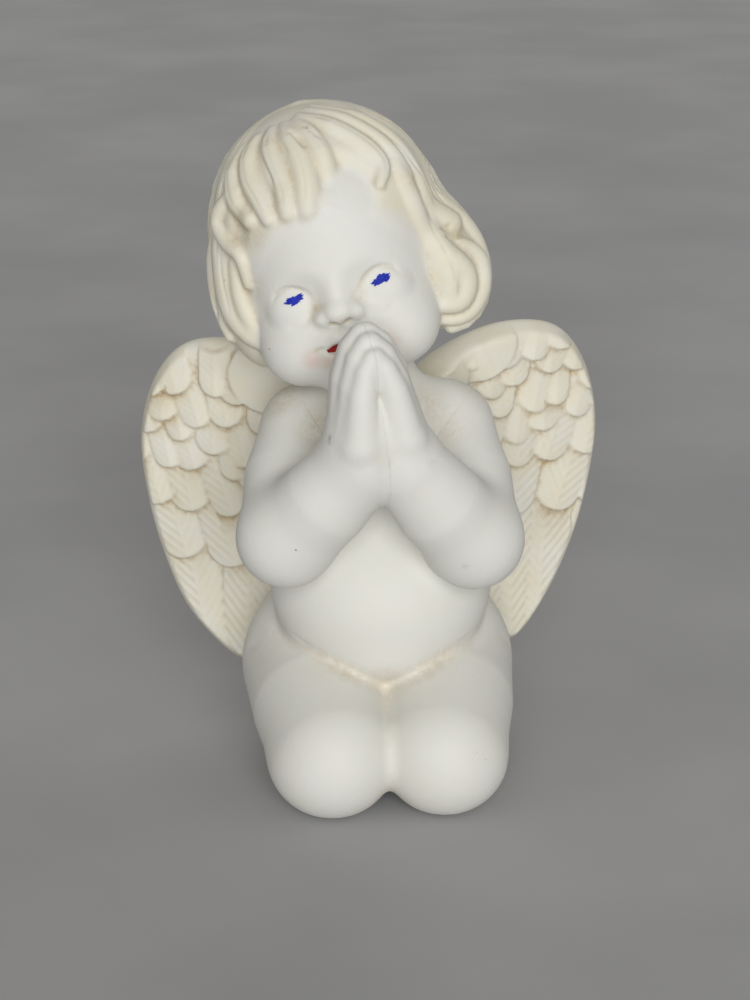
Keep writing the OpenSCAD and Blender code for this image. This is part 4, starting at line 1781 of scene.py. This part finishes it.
@dataclass
class Stage:
    """The pale floor, the soft studio light and the camera.

    Attributes:
        aim: What the camera looks at.
        distance: How far the camera stands from it.
        azimuth: How far it stands round to the figure's left, in degrees.
        elevation: How high it stands, in degrees.
        lens: Its focal length in millimetres.
    """
    aim: Point = (-1.4, -2.8, 66.7)
    distance: float = 600.0
    azimuth: float = -4.0
    elevation: float = 19.0
    lens: float = 93.3

    def camera(self) -> None:
        """Adds the camera."""
        a, e = math.radians(self.azimuth), math.radians(self.elevation)
        back = (math.sin(a) * math.cos(e), -math.cos(a) * math.cos(e), math.sin(e))
        place = [(c + self.distance * b) * MM for c, b in zip(self.aim, back)]
        bpy.ops.object.camera_add(location=place, rotation=(math.pi / 2 - e, 0, a))
        camera = bpy.context.object
        camera.data.lens = self.lens
        camera.data.sensor_width = 36.0
        camera.data.sensor_fit = "VERTICAL"
        camera.data.sensor_height = 36.0
        camera.data.clip_start = 0.01
        bpy.context.scene.camera = camera

    def lamp(self, azimuth: float, elevation: float, spread: float, power: float) -> None:
        """Adds a large, far lamp.

        Args:
            azimuth: How far it stands round to the figure's left, in degrees.
            elevation: How high it stands, in degrees.
            spread: How wide it looks from the figure, in degrees.
            power: Its light, in watts per square metre.
        """
        turn = (math.radians(90 - elevation), 0, math.radians(azimuth))
        bpy.ops.object.light_add(type="SUN", rotation=turn)
        lamp = bpy.context.object.data
        lamp.angle = math.radians(spread)
        lamp.energy = power

    def floor(self) -> None:
        """Adds the floor."""
        bpy.ops.mesh.primitive_plane_add(size=6.0)
        floor = bpy.context.object
        floor.name = "floor"
        n = Nodes("pale_floor")
        clouds = n.noise(9.0, 3.0)
        colour = n.mix(n.step(clouds, 0.3, 0.7), (0.42, 0.42, 0.43), (0.48, 0.48, 0.49))
        n.link(colour, n.shader.inputs["Base Color"])
        n.shader.inputs["Roughness"].default_value = 0.9
        floor.data.materials.append(n.material)

    def build(self) -> None:
        """Adds everything and the sky's faint fill."""
        self.camera()
        self.floor()
        self.lamp(azimuth=1, elevation=15, spread=40, power=2.15)
        self.lamp(azimuth=165, elevation=26, spread=60, power=0.35)
        world = bpy.data.worlds.new("studio")
        world.use_nodes = True
        background = world.node_tree.nodes["Background"]
        background.inputs["Color"].default_value = (1.0, 0.98, 0.93, 1.0)
        background.inputs["Strength"].default_value = 0.27
        bpy.context.scene.world = world
        bpy.context.scene.view_settings.view_transform = "Standard"


def dress_frame(frame: dict, dressing: dict[str, bpy.types.Material]) -> None:
    """Gives the carried-over CAD nodes their materials.

    Args:
        dressing: Each node's material.
    """
    for node, material in dressing.items():
        piece = frame["nodes"][node]
        piece.data.materials.clear()
        piece.data.materials.append(material)
        log.info("%s: dressed in %s", node, material.name)


def main() -> None:
    """Builds the figurine round its frame."""
    logging.basicConfig(level=logging.INFO, format="%(name)s: %(message)s")
    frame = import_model()
    resin = ResinFinish().material()
    steel = SteelFinish().material()
    torso, arm, head = Torso(), Arm(), Head()
    body = torso.clay()
    arms = Clay(steps=[(arm.clay(1), True), (arm.clay(-1), True)])
    torso.build(arms, resin)
    arm.build(1, body, resin)
    arm.build(-1, body, resin)
    head.build(resin)
    Wing(1, lift=1.8).build(resin)
    Wing(-1, lift=-1.2, drop=0.08, foot=0.46).build(resin)
    blue = PaintFinish("eye_paint", (0.006, 0.018, 0.36), (0.012, 0.035, 0.46)).material()
    red = PaintFinish("mouth_paint", (0.33, 0.012, 0.015), (0.36, 0.03, 0.03)).material()
    Dab("left_eye_dab", "left_iris", (10.3, 20.6), (2.15, 0.95), 14, 0.12, 1.3).build(head, blue, Slot.EYE)
    Dab("right_eye_dab", "right_iris", (-9.4, 20.6), (2.1, 0.9), 10, 0.15, 2.1).build(head, blue, Slot.EYE)
    Dab("mouth_dab", "mouth", (-0.2, 8.0), (4.9, 0.9), 0, 0.03, 0.7).build(head, red, Slot.MOUTH)
    pins = [f"{side}_wing_{level}_pin" for side in ("left", "right") for level in ("upper", "lower")]
    dressing = {name: steel for name in ["neck_dowel", *pins]}
    dressing["base_plug"] = RubberFinish().material()
    dress_frame(frame, dressing)
    Stage().build()


if __name__ == "__main__":
    main()
